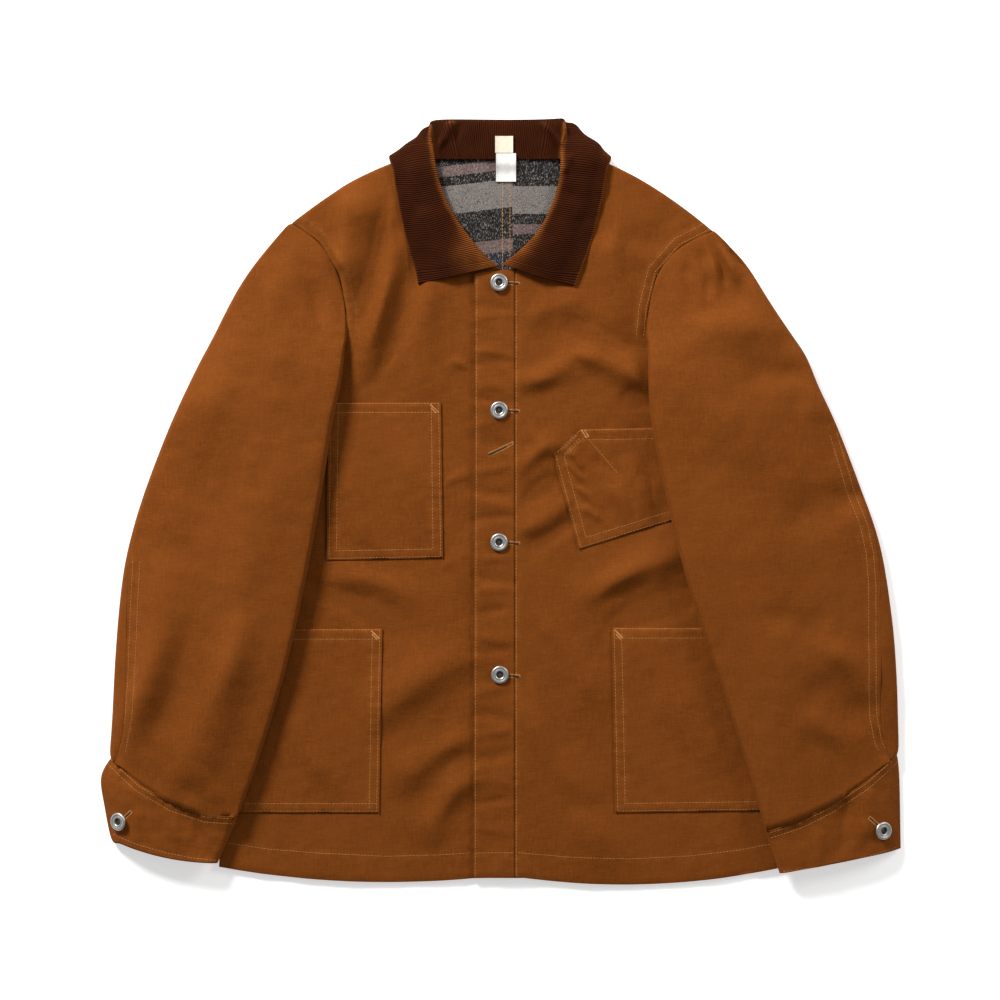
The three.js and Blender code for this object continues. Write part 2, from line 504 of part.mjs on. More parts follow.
// ---------- collar ----------
// Each section also gets a point on either side of the roll and one halfway down the fall.
function collarGrid() {
  return COLLAR_ROWS.map(({ seam, roll, mid, edge }) => {
    const [seamPoint, rollPoint, midPoint, edgePoint] = [seam, roll, mid, edge].map(
      (point) => new THREE.Vector3(...point),
    );
    const beforeRoll = seamPoint.clone().lerp(rollPoint, 0.75);
    beforeRoll.z = lerp(seamPoint.z, rollPoint.z, 0.15);
    const afterRoll = rollPoint.clone().lerp(midPoint, 0.18);
    afterRoll.z = lerp(rollPoint.z, midPoint.z, 0.8);
    const downFall = midPoint.clone().lerp(edgePoint, 0.5);
    downFall.z = lerp(midPoint.z, edgePoint.z, 0.8);
    return [seamPoint, beforeRoll, rollPoint, afterRoll, midPoint, downFall, edgePoint];
  });
}

// ---------- buttons ----------
// A donut button: a raised rounded ring round a sunken middle, on a short shank.
function buttonGeometry() {
  const radius = BUTTON_DIAMETER / 2;
  const profile = [
    [0, 0],
    [2.4, 0],
    [2.4, 1],
    [radius - 1, 1],
    [radius, 2],
    [radius - 0.6, 3.2],
    [radius - 2.2, 3.9],
    [radius - 3.9, 3.4],
    [3.2, 2.2],
    [0, 1.8],
  ].map(([x, y]) => new THREE.Vector2(x, y));
  return new THREE.LatheGeometry(profile, BUTTON_SEGMENTS).rotateX(Math.PI / 2);
}

function addButton({ name, x, y, lean = 0, height }) {
  const button = addPiece(name, buttonGeometry(), buttonMetal);
  button.position.set(x, y, height);
  button.rotation.y = lean;
}

// ---------- the jacket ----------
addPiece('back', laidPanel(planGrid(BACK_ROWS, columnShares(14)), fallRise, BODY_WALL), canvas);
const frontShares = columnShares(11);
const rightFront = laidPanel(planGrid(RIGHT_FRONT_ROWS, frontShares), frontUnderside, BODY_WALL);
const leftFront = laidPanel(planGrid(LEFT_FRONT_ROWS, frontShares), frontUnderside, BODY_WALL);
addPiece('front_right', rightFront, canvas);
addPiece('front_left', leftFront, canvas);
const placketPlan = planGrid(PLACKET_ROWS, columnShares(2, 0.05));
addPiece('placket', laidPanel(placketPlan, placketUnderside, PLACKET_WALL), canvas);

const liningUnderside = (x, y) => backTop(x, y) + LINING_GAP;
const liningHalves = [
  { name: 'lining_right', end: 'edgeX', seam: CENTRE_BACK_SEAM_X - SEAM_GAP / 2 },
  { name: 'lining_left', end: 'sideX', seam: CENTRE_BACK_SEAM_X + SEAM_GAP / 2 },
];
for (const { name, end, seam } of liningHalves) {
  const rows = LINING_ROWS.map((row) => ({ ...row, [end]: seam }));
  addPiece(name, laidPanel(planGrid(rows, columnShares(3, 0.03)), liningUnderside, LINING_WALL), blanket);
}

for (const [name, rows] of Object.entries(POCKETS)) {
  addPiece(name, laidPanel(planGrid(rows, columnShares(5)), pocketUnderside, POCKET_WALL), canvas);
}

addSleeve('right', RIGHT_SLEEVE_ROWS, RIGHT_FRONT_ROWS);
addSleeve('left', LEFT_SLEEVE_ROWS, LEFT_FRONT_ROWS);
addPiece('cuff_right', sheet(cuffGrid(RIGHT_CUFF_ROWS, RIGHT_FRONT_ROWS), CUFF_WALL), canvas);
addPiece('cuff_left', sheet(cuffGrid(LEFT_CUFF_ROWS, LEFT_FRONT_ROWS), CUFF_WALL), canvas);
addPiece('collar', sheet(collarGrid(), COLLAR_WALL), corduroy);

for (const { name, left, right, top, bottom } of LABELS) {
  const rows = [top, bottom].map((y, k) => (
    { sideX: left, sideY: y, edgeX: right, edgeY: y, bow: 0, steps: k === 0 ? 5 : 1 }
  ));
  const underside = (_, y) => {
    const climbed = smoothstep(y, LABEL_EASE.fromY, LABEL_EASE.toY);
    return lerp(LABEL_OVER_LINING, LABEL_OVER_STAND, climbed);
  };
  addPiece(name, laidPanel(planGrid(rows, [0, 1]), underside, LABEL_WALL), labelTape);
}

for (const button of FRONT_BUTTONS) {
  const onPlacket = placketUnderside(button.x, button.y) + PLACKET_WALL + SEAM_GAP;
  addButton({ ...button, height: onPlacket });
}
CUFF_BUTTONS.forEach(addButton);

export default jacket;
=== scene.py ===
"""Chore jacket laid flat on its back: its cloth, seams, buttons and stage.

Lengths in the tables are millimetres in the jacket's own frame: +X is the wearer's left,
+Y points to the collar and +Z up from the surface that the jacket lies on.
"""

import math
from collections import namedtuple

import bmesh
import bpy
import numpy as np
from bpy.props import FloatProperty, FloatVectorProperty, PointerProperty
from mathutils import Matrix, Vector
from mathutils.bvhtree import BVHTree
from mathutils.kdtree import KDTree


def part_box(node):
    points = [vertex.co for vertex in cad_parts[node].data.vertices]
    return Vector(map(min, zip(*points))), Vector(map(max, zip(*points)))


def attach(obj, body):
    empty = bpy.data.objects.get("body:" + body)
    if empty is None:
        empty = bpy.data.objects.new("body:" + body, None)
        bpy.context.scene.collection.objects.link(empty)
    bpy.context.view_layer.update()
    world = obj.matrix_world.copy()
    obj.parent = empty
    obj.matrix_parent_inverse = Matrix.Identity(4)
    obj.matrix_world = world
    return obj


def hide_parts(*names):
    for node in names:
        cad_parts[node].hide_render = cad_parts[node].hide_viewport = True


bl_info = {
    "name": "Chore jacket",
    "version": (1, 0, 0),
    "blender": (4, 5, 0),
    "location": "View3D > Sidebar > Jacket",
    "description": "Dresses the packed chore jacket and sets its stage",
    "category": "Object",
}

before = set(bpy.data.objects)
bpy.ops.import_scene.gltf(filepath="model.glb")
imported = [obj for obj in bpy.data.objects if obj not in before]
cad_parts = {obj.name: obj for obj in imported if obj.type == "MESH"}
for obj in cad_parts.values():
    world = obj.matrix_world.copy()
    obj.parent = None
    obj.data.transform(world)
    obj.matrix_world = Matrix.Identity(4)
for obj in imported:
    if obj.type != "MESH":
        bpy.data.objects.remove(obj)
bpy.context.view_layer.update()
MM = 0.001
DEEPEST = 1.6  # how far a trough may press into the cloth, in millimetres

# ---------- folds ----------
# Each fold runs from (x0, y0) to (x1, y1). rise is a ridge's height, or a trough's depth
# where it is negative; bend bows the run sideways; skew widens the fold's left side.
Fold = namedtuple("Fold", "x0 y0 x1 y1 width rise bend skew")

BODY_FOLDS = [
    # right chest, from the shoulder and the collar to the armhole
    Fold(-143, 304, -158, 196, 11, 4.0, 3, 2.1),
    Fold(-96, 276, -136, 116, 10, 3.4, 5, 1.3),
    Fold(-64, 224, -78, 100, 14, 2.1, -5, 1.4),
    Fold(-111, 280, -141, 160, 8, -1.2, 4, 1.0),
    Fold(-84, 226, -119, 112, 9, -1.3, 4, 1.0),
    # right waist, under the chest pocket and beside the placket
    Fold(-168, -73, -78, -96, 11, 1.4, 5, 1.1),
    Fold(-178, -86, -88, -131, 10, -1.7, 4, 1.0),
    Fold(-124, -214, -26, -150, 15, 2.6, 8, 1.4),
    Fold(-102, -277, -26, -226, 12, 2.0, 6, 1.3),
    Fold(-70, -322, -25, -256, 11, 2.2, 5, 1.2),
    Fold(-100, 60, -60, -40, 16, 1.0, 5, 1.0),
    Fold(-148, 30, -120, -50, 14, 1.0, -6, 1.0),
    Fold(-60, -20, -30, -100, 12, 1.0, 4, 1.0),
    # left chest, from the placket out to the armhole
    Fold(12, 108, 74, 137, 10, 2.3, -6, 1.3),
    Fold(66, 138, 141, 106, 10, 2.7, 5, 1.2),
    Fold(115, 97, 143, 91, 7, -2.0, 0, 1.0),
    Fold(103, 270, 127, 158, 14, 2.2, -8, 1.2),
    Fold(27, 170, 80, 190, 13, 1.3, 4, 1.0),
    Fold(58, 172, 128, 141, 10, -1.2, -4, 1.0),
    Fold(70, 250, 150, 225, 14, 1.2, 0, 1.0),
    # left side, round and under the angled pocket
    Fold(15, 25, 56, 57, 8, 1.7, 3, 1.2),
    Fold(20, -2, 56, 21, 7, -1.5, 0, 1.0),
    Fold(16, -31, 66, -1, 8, 1.6, -3, 1.2),
    Fold(26, -49, 70, -21, 7, -1.3, 0, 1.0),
    Fold(78, -98, 182, -50, 11, 2.6, 6, 1.4),
    Fold(100, -122, 190, -88, 11, -1.8, 0, 1.0),
    Fold(96, 26, 122, -24, 9, 1.3, 4, 1.0),
    Fold(132, 24, 150, -26, 8, -1.8, -3, 1.0),
    Fold(88, 40, 112, 10, 7, -0.9, 0, 1.0),
    Fold(120, 34, 138, -24, 9, 1.5, 3, 1.3),
    Fold(64, 46, 76, 28, 3.0, 0.7, 1, 1.0),
    Fold(61, 34, 79, 14, 3.2, 0.6, 1, 1.0),
    Fold(68, 12, 88, -6, 3.6, 0.7, 2, 1.0),
    Fold(72, -8, 96, -22, 4.0, 0.7, 2, 1.0),
    Fold(22, 62, 50, 40, 4.5, 0.9, 2, 1.0),
    Fold(-56, 12, -30, 24, 4.5, 0.8, 2, 1.0),
    Fold(-54, -66, -30, -50, 5.0, 0.9, 2, 1.0),
    Fold(-52, 132, -30, 122, 4.5, 0.8, 2, 1.0),
    # left skirt
    Fold(17, -182, 86, -288, 16, 1.5, -8, 1.2),
    Fold(40, -115, 94, -212, 14, 1.2, 6, 1.0),
    Fold(60, -300, 120, -345, 16, 1.2, 0, 1.0),
    Fold(150, -180, 200, -260, 16, 1.0, 8, 1.0),
    Fold(-200, -200, -150, -280, 16, 1.0, -8, 1.0),
]

# Short creases across the placket, between and beside its buttons: left end, right end.
PLACKET_CREASES = [
    (140, 132, 0.5), (126, 131, -0.5), (112, 104, 0.5), (98, 92, -0.6), (66, 74, 0.5),
    (55, 47, -0.6), (24, 33, 0.6), (10, 3, -0.6), (-4, -12, 0.5), (-22, -17, -0.6),
    (-60, -53, 0.5), (-72, -80, -0.6), (-92, -86, 0.5), (-113, -104, -0.6),
    (-130, -137, 0.5), (-146, -140, -0.5), (-188, -181, 0.5), (-204, -212, -0.6),
    (-226, -219, 0.5), (-248, -240, -0.6), (-268, -275, 0.5), (-292, -286, -0.5),
    (-312, -318, 0.4), (186, 180, -0.4), (168, 174, 0.4),
]
BODY_FOLDS += [
    Fold(-30, left, 13, right, 3.5 + 0.9 * (k % 3), rise, 3 - 2 * (k % 4), 1.25)
    for k, (left, right, rise) in enumerate(PLACKET_CREASES)
]

RIGHT_SLEEVE_FOLDS = [
    Fold(-250, 60, -312, -150, 26, -1.6, -10, 1.4),
    Fold(-316, -66, -356, -236, 17, 4.4, 6, 1.4),
    Fold(-242, -104, -300, -272, 17, 3.6, 4, 1.3),
    Fold(-300, -130, -336, -238, 12, -1.2, 4, 1.0),
    Fold(-192, 226, -170, 152, 9, -1.6, 4, 1.0),
    Fold(-214, 222, -206, 120, 14, 1.4, -6, 1.2),
    Fold(-236, 176, -300, 60, 18, 1.6, 8, 1.2),
    Fold(-330, 20, -296, -60, 14, 1.2, 6, 1.0),
    Fold(-206, 40, -250, -110, 20, 1.2, -8, 1.0),
    Fold(-290, -255, -268, -292, 8, 1.2, 3, 1.0),
    Fold(-306, -268, -286, -286, 5, -0.9, 0, 1.0),
]

LEFT_SLEEVE_FOLDS = [
    # gathers at the shoulder
    Fold(188, 240, 196, 190, 6, -1.9, 3, 1.0),
    Fold(199, 244, 214, 196, 6, -2.2, 3, 1.0),
    Fold(208, 246, 238, 204, 6, -1.8, 3, 1.0),
    Fold(176, 226, 182, 182, 6, -1.4, 0, 1.0),
    Fold(193, 242, 205, 200, 5, 1.2, 0, 1.0),
    Fold(204, 246, 226, 206, 5, 1.1, 0, 1.0),
    # upper arm
    Fold(179, 176, 238, 204, 13, -2.2, -5, 1.1),
    Fold(166, 148, 262, 160, 17, 2.4, 6, 1.3),
    Fold(224, 110, 294, 118, 12, -1.9, 4, 1.2),
    Fold(282, 142, 317, 64, 12, 1.8, -5, 1.1),
    Fold(188, 96, 236, 20, 20, 1.4, 8, 1.1),
    # forearm
    Fold(270, -24, 352, 2, 15, -1.9, 6, 1.1),
    Fold(207, 18, 276, -248, 26, 1.8, 10, 1.2),
    Fold(300, -136, 352, -190, 13, 2.2, 6, 1.3),
    Fold(290, -176, 344, -216, 14, -1.7, 3, 1.2),
    Fold(262, -200, 330, -238, 12, 1.4, 5, 1.0),
    Fold(240, -110, 300, -130, 14, -1.0, 5, 1.0),
]

CUFF_FOLDS = [
    Fold(-352, -262, -344, -316, 7, 1.0, 2, 1.0),
    Fold(-318, -290, -306, -334, 8, 0.9, 2, 1.0),
    Fold(-290, -304, -282, -340, 7, -0.8, 0, 1.0),
    Fold(348, -272, 342, -326, 8, 1.0, 2, 1.0),
    Fold(306, -300, 300, -346, 8, 0.9, -2, 1.0),
    Fold(326, -286, 322, -338, 7, -0.8, 0, 1.0),
]

# ---------- seams ----------
# A seam is a line on the cloth. rows are the stitch rows' distances to the left of the
# line, seen from above; band is the width of the folded allowance that stands up beside it.
Seam = namedtuple("Seam", "points rows band")

BODY_SEAMS = [
    Seam([(-199, 262), (-174, 244), (-155, 213), (-148, 177), (-148, 150)], (2.2, 9.2), 11),
    Seam([(137, 154), (139.5, 181), (148, 215), (170, 240), (199.5, 255)], (2.2, 9.2), 11),
    Seam([(-25.6, 212), (-27.3, -360)], (1.8,), 0),
    Seam([(12.5, -360), (12.5, 214)], (-1.2,), 0),
    Seam([(-268, -351.5), (-225, -358), (-180, -361.6), (-110, -365), (-60, -363.5), (-27, -361.6)], (24,), 0),
    Seam([(-26, -361.5), (10.5, -361)], (24,), 0),
    Seam([(13, -361), (60, -365.4), (125, -367.4), (180, -364.6), (230, -358.6), (268, -351.6)], (24,), 0),
]

POCKET_SEAMS = [
    # right chest
    Seam([(-164.4, 91), (-166, -58.5), (-57, -56.5), (-59, 91)], (1.3, 8.4), 0),
    Seam([(-59.4, 91.5), (-164.5, 91.5)], (1.1, 9.6), 0),
    # left chest, angled
    Seam([(74, 66), (49.5, 43), (74, -48), (182.5, -14.5)], (1.3, 8.6), 0),
    Seam([(172, 68.1), (74.5, 66)], (1.2, 10.5), 0),
    Seam([(76, 64), (110, 24)], (0,), 0),
    Seam([(59, 42), (74, 57)], (0, 4.2), 0),
    # hips
    Seam([(-118, -299), (-115, -124.6)], (1.3, 8.4), 0),
    Seam([(-246, -299), (-118.8, -299)], (1.3, 8.4), 0),
    Seam([(-115.6, -124), (-250, -124)], (1.1, 10), 0),
    Seam([(105.5, -124.6), (109, -299), (250, -297)], (1.3, 8.4), 0),
    Seam([(247, -123), (106, -123)], (1.1, 10), 0),
]

# Bartacks: where each starts and ends.
BARTACKS = [
    (-68.5, 89.6, -60.8, 82.6), (-67.5, 86.0, -62.8, 81.6),
    (75.4, 65.4, 80.6, 57.4), (78.6, 65.2, 82.6, 58.6),
    (-124.6, -126, -117, -133), (-123.6, -129.6, -118.9, -134),
    (107.4, -125.2, 114.6, -132.4), (108.6, -129.4, 113.2, -134),
]

RIGHT_ARM_SEAM = [
    (-352.5, -59), (-354.8, -104), (-356, -139), (-357, -176), (-359, -206), (-366, -238),
]
LEFT_ARM_SEAM = [
    (320, 63), (335.5, 12), (349, -24), (355, -52), (357, -82), (357, -123), (356.5, -180),
    (358, -207), (362, -228), (366, -236),
]
# Where each front runs on under its sleeve at the bottom of the armhole.
UNDERARMS = {"front_right": -148, "front_left": 137}
PLACKET_EDGE = [(11.8, -366), (11.8, 216)]
ARMHOLES = {"right": BODY_SEAMS[0].points, "left": BODY_SEAMS[1].points}
SLEEVE_SEAMS = [
    Seam(RIGHT_ARM_SEAM, (2.2, 9.2), 0),
    Seam(LEFT_ARM_SEAM, (-2.2, -9.2), 0),
]
CUFF_SEAMS = [
    Seam(
        [(-372, -247.2), (-342.4, -272), (-311.8, -289.5), (-281.1, -299.7), (-251.5, -302)],
        (-1.4, -6.6), 0,
    ),
    Seam(
        [(375, -243.8), (344.5, -269), (313, -289.8), (281.5, -305.6), (251, -315.8)],
        (1.4, 6.6), 0,
    ),
    Seam([(-371, -321.3), (-345, -330.6), (-320, -337.6), (-295, -342.4), (-271, -345.2)], (2.2,), 0),
    Seam([(376, -334), (348, -341.5), (320, -347.5), (292, -352.5), (265, -356)], (-2.2,), 0),
]
LINING_SEAMS = [Seam([(9.6, 320), (9.6, 212)], (-2, -9), 10)]

# ---------- collar ----------
# Sections along the folded band, from the neck seam over the roll to the outer edge.
CollarRow = namedtuple("CollarRow", "seam roll mid edge")
COLLAR_ROWS = [
    CollarRow((-16, 223, 8.6), (-4.5, 221, 10.6), (-42, 212.5, 12.4), (-80, 204.5, 7.4)),
    CollarRow((-25, 228, 8.6), (-12.5, 226, 10.8), (-49, 220, 12.8), (-82.5, 217, 7.4)),
    CollarRow((-41, 236, 8.2), (-26.5, 241, 10.6), (-58, 234.5, 12.8), (-88, 234, 7.6)),
    CollarRow((-60, 252, 8.4), (-42, 262, 10.8), (-68, 253.5, 13.4), (-93, 255, 9.2)),
    CollarRow((-72, 275, 10), (-53, 281, 12.2), (-76, 275.5, 14.8), (-97.5, 277, 11)),
    CollarRow((-77, 295, 10.8), (-60.5, 301, 13), (-82, 297.5, 15.4), (-101.5, 298, 11.2)),
    CollarRow((-76, 309, 10.8), (-64.5, 319, 13.2), (-85.5, 315.5, 15.2), (-103.5, 313, 11.2)),
    CollarRow((-70, 320, 10.6), (-67, 337, 12.8), (-88, 334.5, 10), (-107.5, 324, 8)),
    CollarRow((-66, 322.5, 10), (-68, 344, 12), (-85.5, 340.5, 7), (-99.5, 326, 1.3)),
    CollarRow((-61, 323, 9.4), (-68.5, 350, 11), (-80.5, 345, 4), (-84, 310, 1.2)),
    CollarRow((-58, 323, 9), (-67.5, 354.8, 8.6), (-75.5, 350, 2.4), (-77, 304, 1.2)),
    CollarRow((-54, 323, 8.6), (-66, 358.5, 6), (-68, 331, 1.2), (-70, 298, 1.2)),
    CollarRow((-41, 323, 8.4), (-49, 360, 5), (-51, 326.5, 1.2), (-52, 293, 1.2)),
    CollarRow((-2.5, 323, 8.4), (-2.5, 359.5, 5), (-2.5, 326.5, 1.2), (-2.5, 293, 1.2)),
    CollarRow((36, 323, 8.4), (42, 360, 5), (44.5, 326.5, 1.2), (45.5, 293, 1.2)),
    CollarRow((48, 323, 8.6), (57, 361, 6), (61.5, 331, 1.2), (63.5, 298, 1.2)),
    CollarRow((51.5, 323, 9), (59, 357.5, 8.6), (69.5, 355.5, 2.2), (71, 304, 1.2)),
    CollarRow((55, 323, 9.4), (60, 352.5, 11), (76, 349.5, 3.4), (79.5, 310, 1.2)),
    CollarRow((61, 322.5, 10), (59, 345, 12), (83.5, 343, 6), (95.5, 326, 1.2)),
    CollarRow((65.5, 320, 10.6), (57, 337, 12.8), (88.5, 335.5, 10), (104, 323.5, 7.4)),
    CollarRow((73, 308, 10.8), (57, 318.5, 13.2), (81.5, 316, 15.2), (99.5, 313, 11.2)),
    CollarRow((74, 295, 10.8), (55, 300.5, 13), (77, 297.5, 15.4), (97.5, 298, 11.2)),
    CollarRow((70, 274, 10), (48.5, 279, 12.2), (72, 274.5, 14.6), (93, 277, 10.4)),
    CollarRow((58, 251, 8.8), (37, 256, 11), (62, 251.5, 13.2), (87.5, 255, 8.8)),
    CollarRow((43, 236, 9.4), (22, 239, 11.2), (51, 230.5, 13.2), (81, 232.5, 7.8)),
    CollarRow((25, 228, 9.6), (7.5, 226.5, 11.4), (42, 217, 13), (74, 215, 7.8)),
    CollarRow((14, 224, 9.8), (1.5, 222, 11.4), (36, 210.5, 12.8), (69.5, 203, 7.8)),
]
COLLAR_FOLDS = [
    Fold(-46, 360, -60, 334, 3.5, 1.3, 0, 1.0),
    Fold(-40, 358, -44, 336, 3.0, -0.8, 0, 1.0),
    Fold(38, 358, 56, 336, 2.6, 1.8, 0, 1.0),
    Fold(66, 326, 57, 308, 3.5, 1.2, 0, 1.0),
    Fold(-70, 300, -88, 260, 9, -1.0, 0, 1.0),
    Fold(62, 300, 84, 262, 9, -1.2, 0, 1.0),
]

FRONT_BUTTONS = ["button_front_1", "button_front_2", "button_front_3", "button_front_4"]
CUFF_BUTTONS = ["button_cuff_right", "button_cuff_left"]

# Buttonholes: slit from (x0, y0) to (x1, y1).
BUTTONHOLES = [
    (-1.0, 205.3, 16.5, 204.2), (-1.0, 83.6, 16.5, 82.8), (-1.0, -41.9, 16.8, -43.0),
    (-0.2, -168.0, 17.0, -169.4), (-12.2, 41.6, 10.6, 52.6),
    (-358, -303, -351.4, -296.6), (358.5, -311.5, 348, -302.4),
]


# ---------- sizes and colours ----------
class JacketSizes(bpy.types.PropertyGroup):
    """Sizes of the parts that dress the cloth."""

    fold_depth: FloatProperty(
        name="Fold depth", description="Scale of every fold", default=2.5, min=0, max=3,
        subtype="FACTOR",
    )
    stitch_length: FloatProperty(
        name="Stitch length", description="Length of one stitch", default=0.0027,
        unit="LENGTH", precision=4,
    )
    stitch_gap: FloatProperty(
        name="Stitch gap", description="Cloth left between two stitches", default=0.0004,
        unit="LENGTH", precision=4,
    )
    thread_width: FloatProperty(
        name="Thread width", description="Width of the sewing thread", default=0.00056,
        unit="LENGTH", precision=5,
    )
    wale_pitch: FloatProperty(
        name="Wale pitch", description="Distance between two corduroy wales", default=0.0020,
        unit="LENGTH", precision=4,
    )
    yarn_pitch: FloatProperty(
        name="Yarn pitch", description="Distance between two duck yarns", default=0.0008,
        unit="LENGTH", precision=5,
    )
    button_diameter: FloatProperty(
        name="Button diameter", description="Across the button's rim", default=0.017,
        unit="LENGTH", precision=4,
    )
    camera_height: FloatProperty(
        name="Camera height", description="Camera above the surface", default=2.4,
        unit="LENGTH",
    )


def colour_property(name, description, value):
    return FloatVectorProperty(
        name=name, description=description, default=value, size=3, min=0, max=1,
        subtype="COLOR",
    )


class JacketColours(bpy.types.PropertyGroup):
    """Colours of the jacket's materials, in linear light."""

    canvas: colour_property("Canvas", "Duck canvas", (0.182, 0.0485, 0.0062))
    thread: colour_property("Thread", "Sewing thread", (0.44, 0.195, 0.060))
    corduroy: colour_property("Corduroy", "Collar pile", (0.034, 0.0074, 0.0018))
    pile_sheen: colour_property("Pile sheen", "Light caught by the pile", (0.36, 0.105, 0.018))
    lining_dark: colour_property("Lining dark", "Dark blanket yarn", (0.009, 0.0075, 0.007))
    lining_light: colour_property("Lining light", "Light blanket yarn", (0.180, 0.160, 0.148))
    lining_pink: colour_property("Lining rose", "Rose blanket yarn", (0.150, 0.098, 0.090))
    label: colour_property("Label", "Bare label tape", (0.86, 0.84, 0.80))
    metal: colour_property("Metal", "Button metal", (0.36, 0.355, 0.35))
    floor: colour_property("Floor", "Floor under the jacket", (0.90, 0.90, 0.90))


def sizes():
    return bpy.context.scene.jacket_sizes


def colours():
    return bpy.context.scene.jacket_colours


def rgba(colour, factor=1.0):
    return (colour[0] * factor, colour[1] * factor, colour[2] * factor, 1.0)


# ---------- fields over the cloth ----------
def ramp(value, low, high):
    share = np.clip((value - low) / (high - low), 0.0, 1.0)
    return share * share * (3 - 2 * share)


def fold_height(folds, x, y):
    """Height of the folds at each point: ridges and troughs, as two arrays."""
    ridge = np.zeros_like(x)
    trough = np.zeros_like(x)
    for k, fold in enumerate(folds):
        run_x, run_y = fold.x1 - fold.x0, fold.y1 - fold.y0
        length = math.hypot(run_x, run_y)
        share = ((x - fold.x0) * run_x + (y - fold.y0) * run_y) / length**2
        held = np.clip(share, 0, 1)
        bow = fold.bend * 4 * held * (1 - held)
        side = ((y - fold.y0) * run_x - (x - fold.x0) * run_y) / length - bow
        width = fold.width * np.where(side > 0, fold.skew, 1.0)
        width = width * (1 + 0.22 * np.sin(5.1 * share + 1.7 * k))
        along = ramp(share, -0.18, 0.32) * (1 - ramp(share, 0.66, 1.16))
        shape = along * np.exp(-((side / width) ** 2))
        shape *= 1 + 0.18 * np.sin(9.0 * share + 2.3 * k)
        if fold.rise > 0:
            ridge = np.maximum(ridge, fold.rise * shape) + 0.3 * np.minimum(ridge, fold.rise * shape)
        else:
            trough += fold.rise * shape
    depth = sizes().fold_depth
    return ridge * depth, trough * depth


def rumple(x, y, seed, shortest, longest, height):
    """A soft random unevenness, the same on every run."""
    chance = np.random.default_rng(seed)
    total = np.zeros_like(x)
    waves = 22
    for wave in range(waves):
        length = shortest * (longest / shortest) ** (wave / (waves - 1))
        turn = chance.uniform(0, math.tau)
        phase = chance.uniform(0, math.tau)
        warp = 0.9 * np.sin(y / (length * 0.9) + phase * 1.7)
        total += np.sin((x * math.cos(turn) + y * math.sin(turn)) * math.tau / length + phase + warp)
    return total * height / math.sqrt(waves)


def nearest_on(points, x, y):
    """Each point's distance from a line, its side, its place along it and the way to it."""
    best = np.full_like(x, 1e9)
    left, along, away_x, away_y = (np.zeros_like(x) for _ in range(4))
    start = 0.0
    for (ax, ay), (bx, by) in zip(points, points[1:]):
        run_x, run_y = bx - ax, by - ay
        length = math.hypot(run_x, run_y)
        share = np.clip(((x - ax) * run_x + (y - ay) * run_y) / length**2, 0, 1)
        gap_x, gap_y = x - ax - share * run_x, y - ay - share * run_y
        distance = np.hypot(gap_x, gap_y)
        nearer = distance < best
        side = np.sign(run_x * gap_y - run_y * gap_x)
        best = np.where(nearer, distance, best)
        left = np.where(nearer, distance * side, left)
        along = np.where(nearer, start + share * length, along)
        away_x = np.where(nearer, gap_x, away_x)
        away_y = np.where(nearer, gap_y, away_y)
        start += length
    return best, left, along, away_x, away_y


def seam_height(seams, x, y, height):
    """Puckers beside the stitch rows, and the allowance that stands up beside a seam."""
    total = np.zeros_like(x)
    for k, seam in enumerate(seams):
        distance, left, along, _, _ = nearest_on(seam.points, x, y)
        for row in seam.rows:
            off = np.where(distance < 40, left - row, 40)
            wave = np.sin(along * math.tau / (8.5 + 1.3 * math.sin(k)) + 2.2 * np.sin(along / 17.0 + k))
            uneven = 0.55 + 0.45 * np.sin(along / 31.0 + 2.1 * k + row)
            total += height * wave * uneven * np.exp(-((off / 4.5) ** 2))
            total -= height * 0.9 * np.exp(-((off / 1.1) ** 2)) * (distance < 40)
        if seam.band:
            total += 0.55 * ramp(left, -0.6, 0.6) * (1 - ramp(left, seam.band - 1.5, seam.band + 1.5))
    return total


def draw_to(points, line, most, reach):
    """Draws the cloth within reach of a line up to it, and just under the piece beyond."""
    distance, _, _, away_x, away_y = nearest_on(line, points[:, 0], points[:, 1])
    step = np.minimum(most, distance + 0.7) * np.exp(-((distance / reach) ** 2))
    points[:, 0] -= away_x / np.maximum(distance, 1e-6) * step
    points[:, 1] -= away_y / np.maximum(distance, 1e-6) * step


# ---------- meshes ----------
def read(mesh, what="co"):
    values = np.empty(len(mesh.vertices) * 3, np.float32)
    if what == "co":
        mesh.vertices.foreach_get("co", values)
        return values.reshape(-1, 3).astype(float) / MM
    mesh.vertex_normals.foreach_get("vector", values)
    return values.reshape(-1, 3).astype(float)


def write(mesh, points):
    mesh.vertices.foreach_set("co", (points * MM).astype(np.float32).ravel())
    mesh.update()


def merged_copy(node):
    """A CAD node's mesh as one merged bmesh of four-sided faces."""
    bm = bmesh.new()
    bm.from_mesh(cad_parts[node].data)
    bmesh.ops.remove_doubles(bm, verts=bm.verts, dist=2e-6)
    bmesh.ops.join_triangles(
        bm, faces=bm.faces, angle_face_threshold=math.pi, angle_shape_threshold=math.pi
    )
    return bm


def crease_edges(bm, angle):
    crease = bm.edges.layers.float.new("crease_edge")
    for edge in bm.edges:
        if edge.is_manifold and edge.calc_face_angle() > math.radians(angle):
            edge[crease] = 1.0


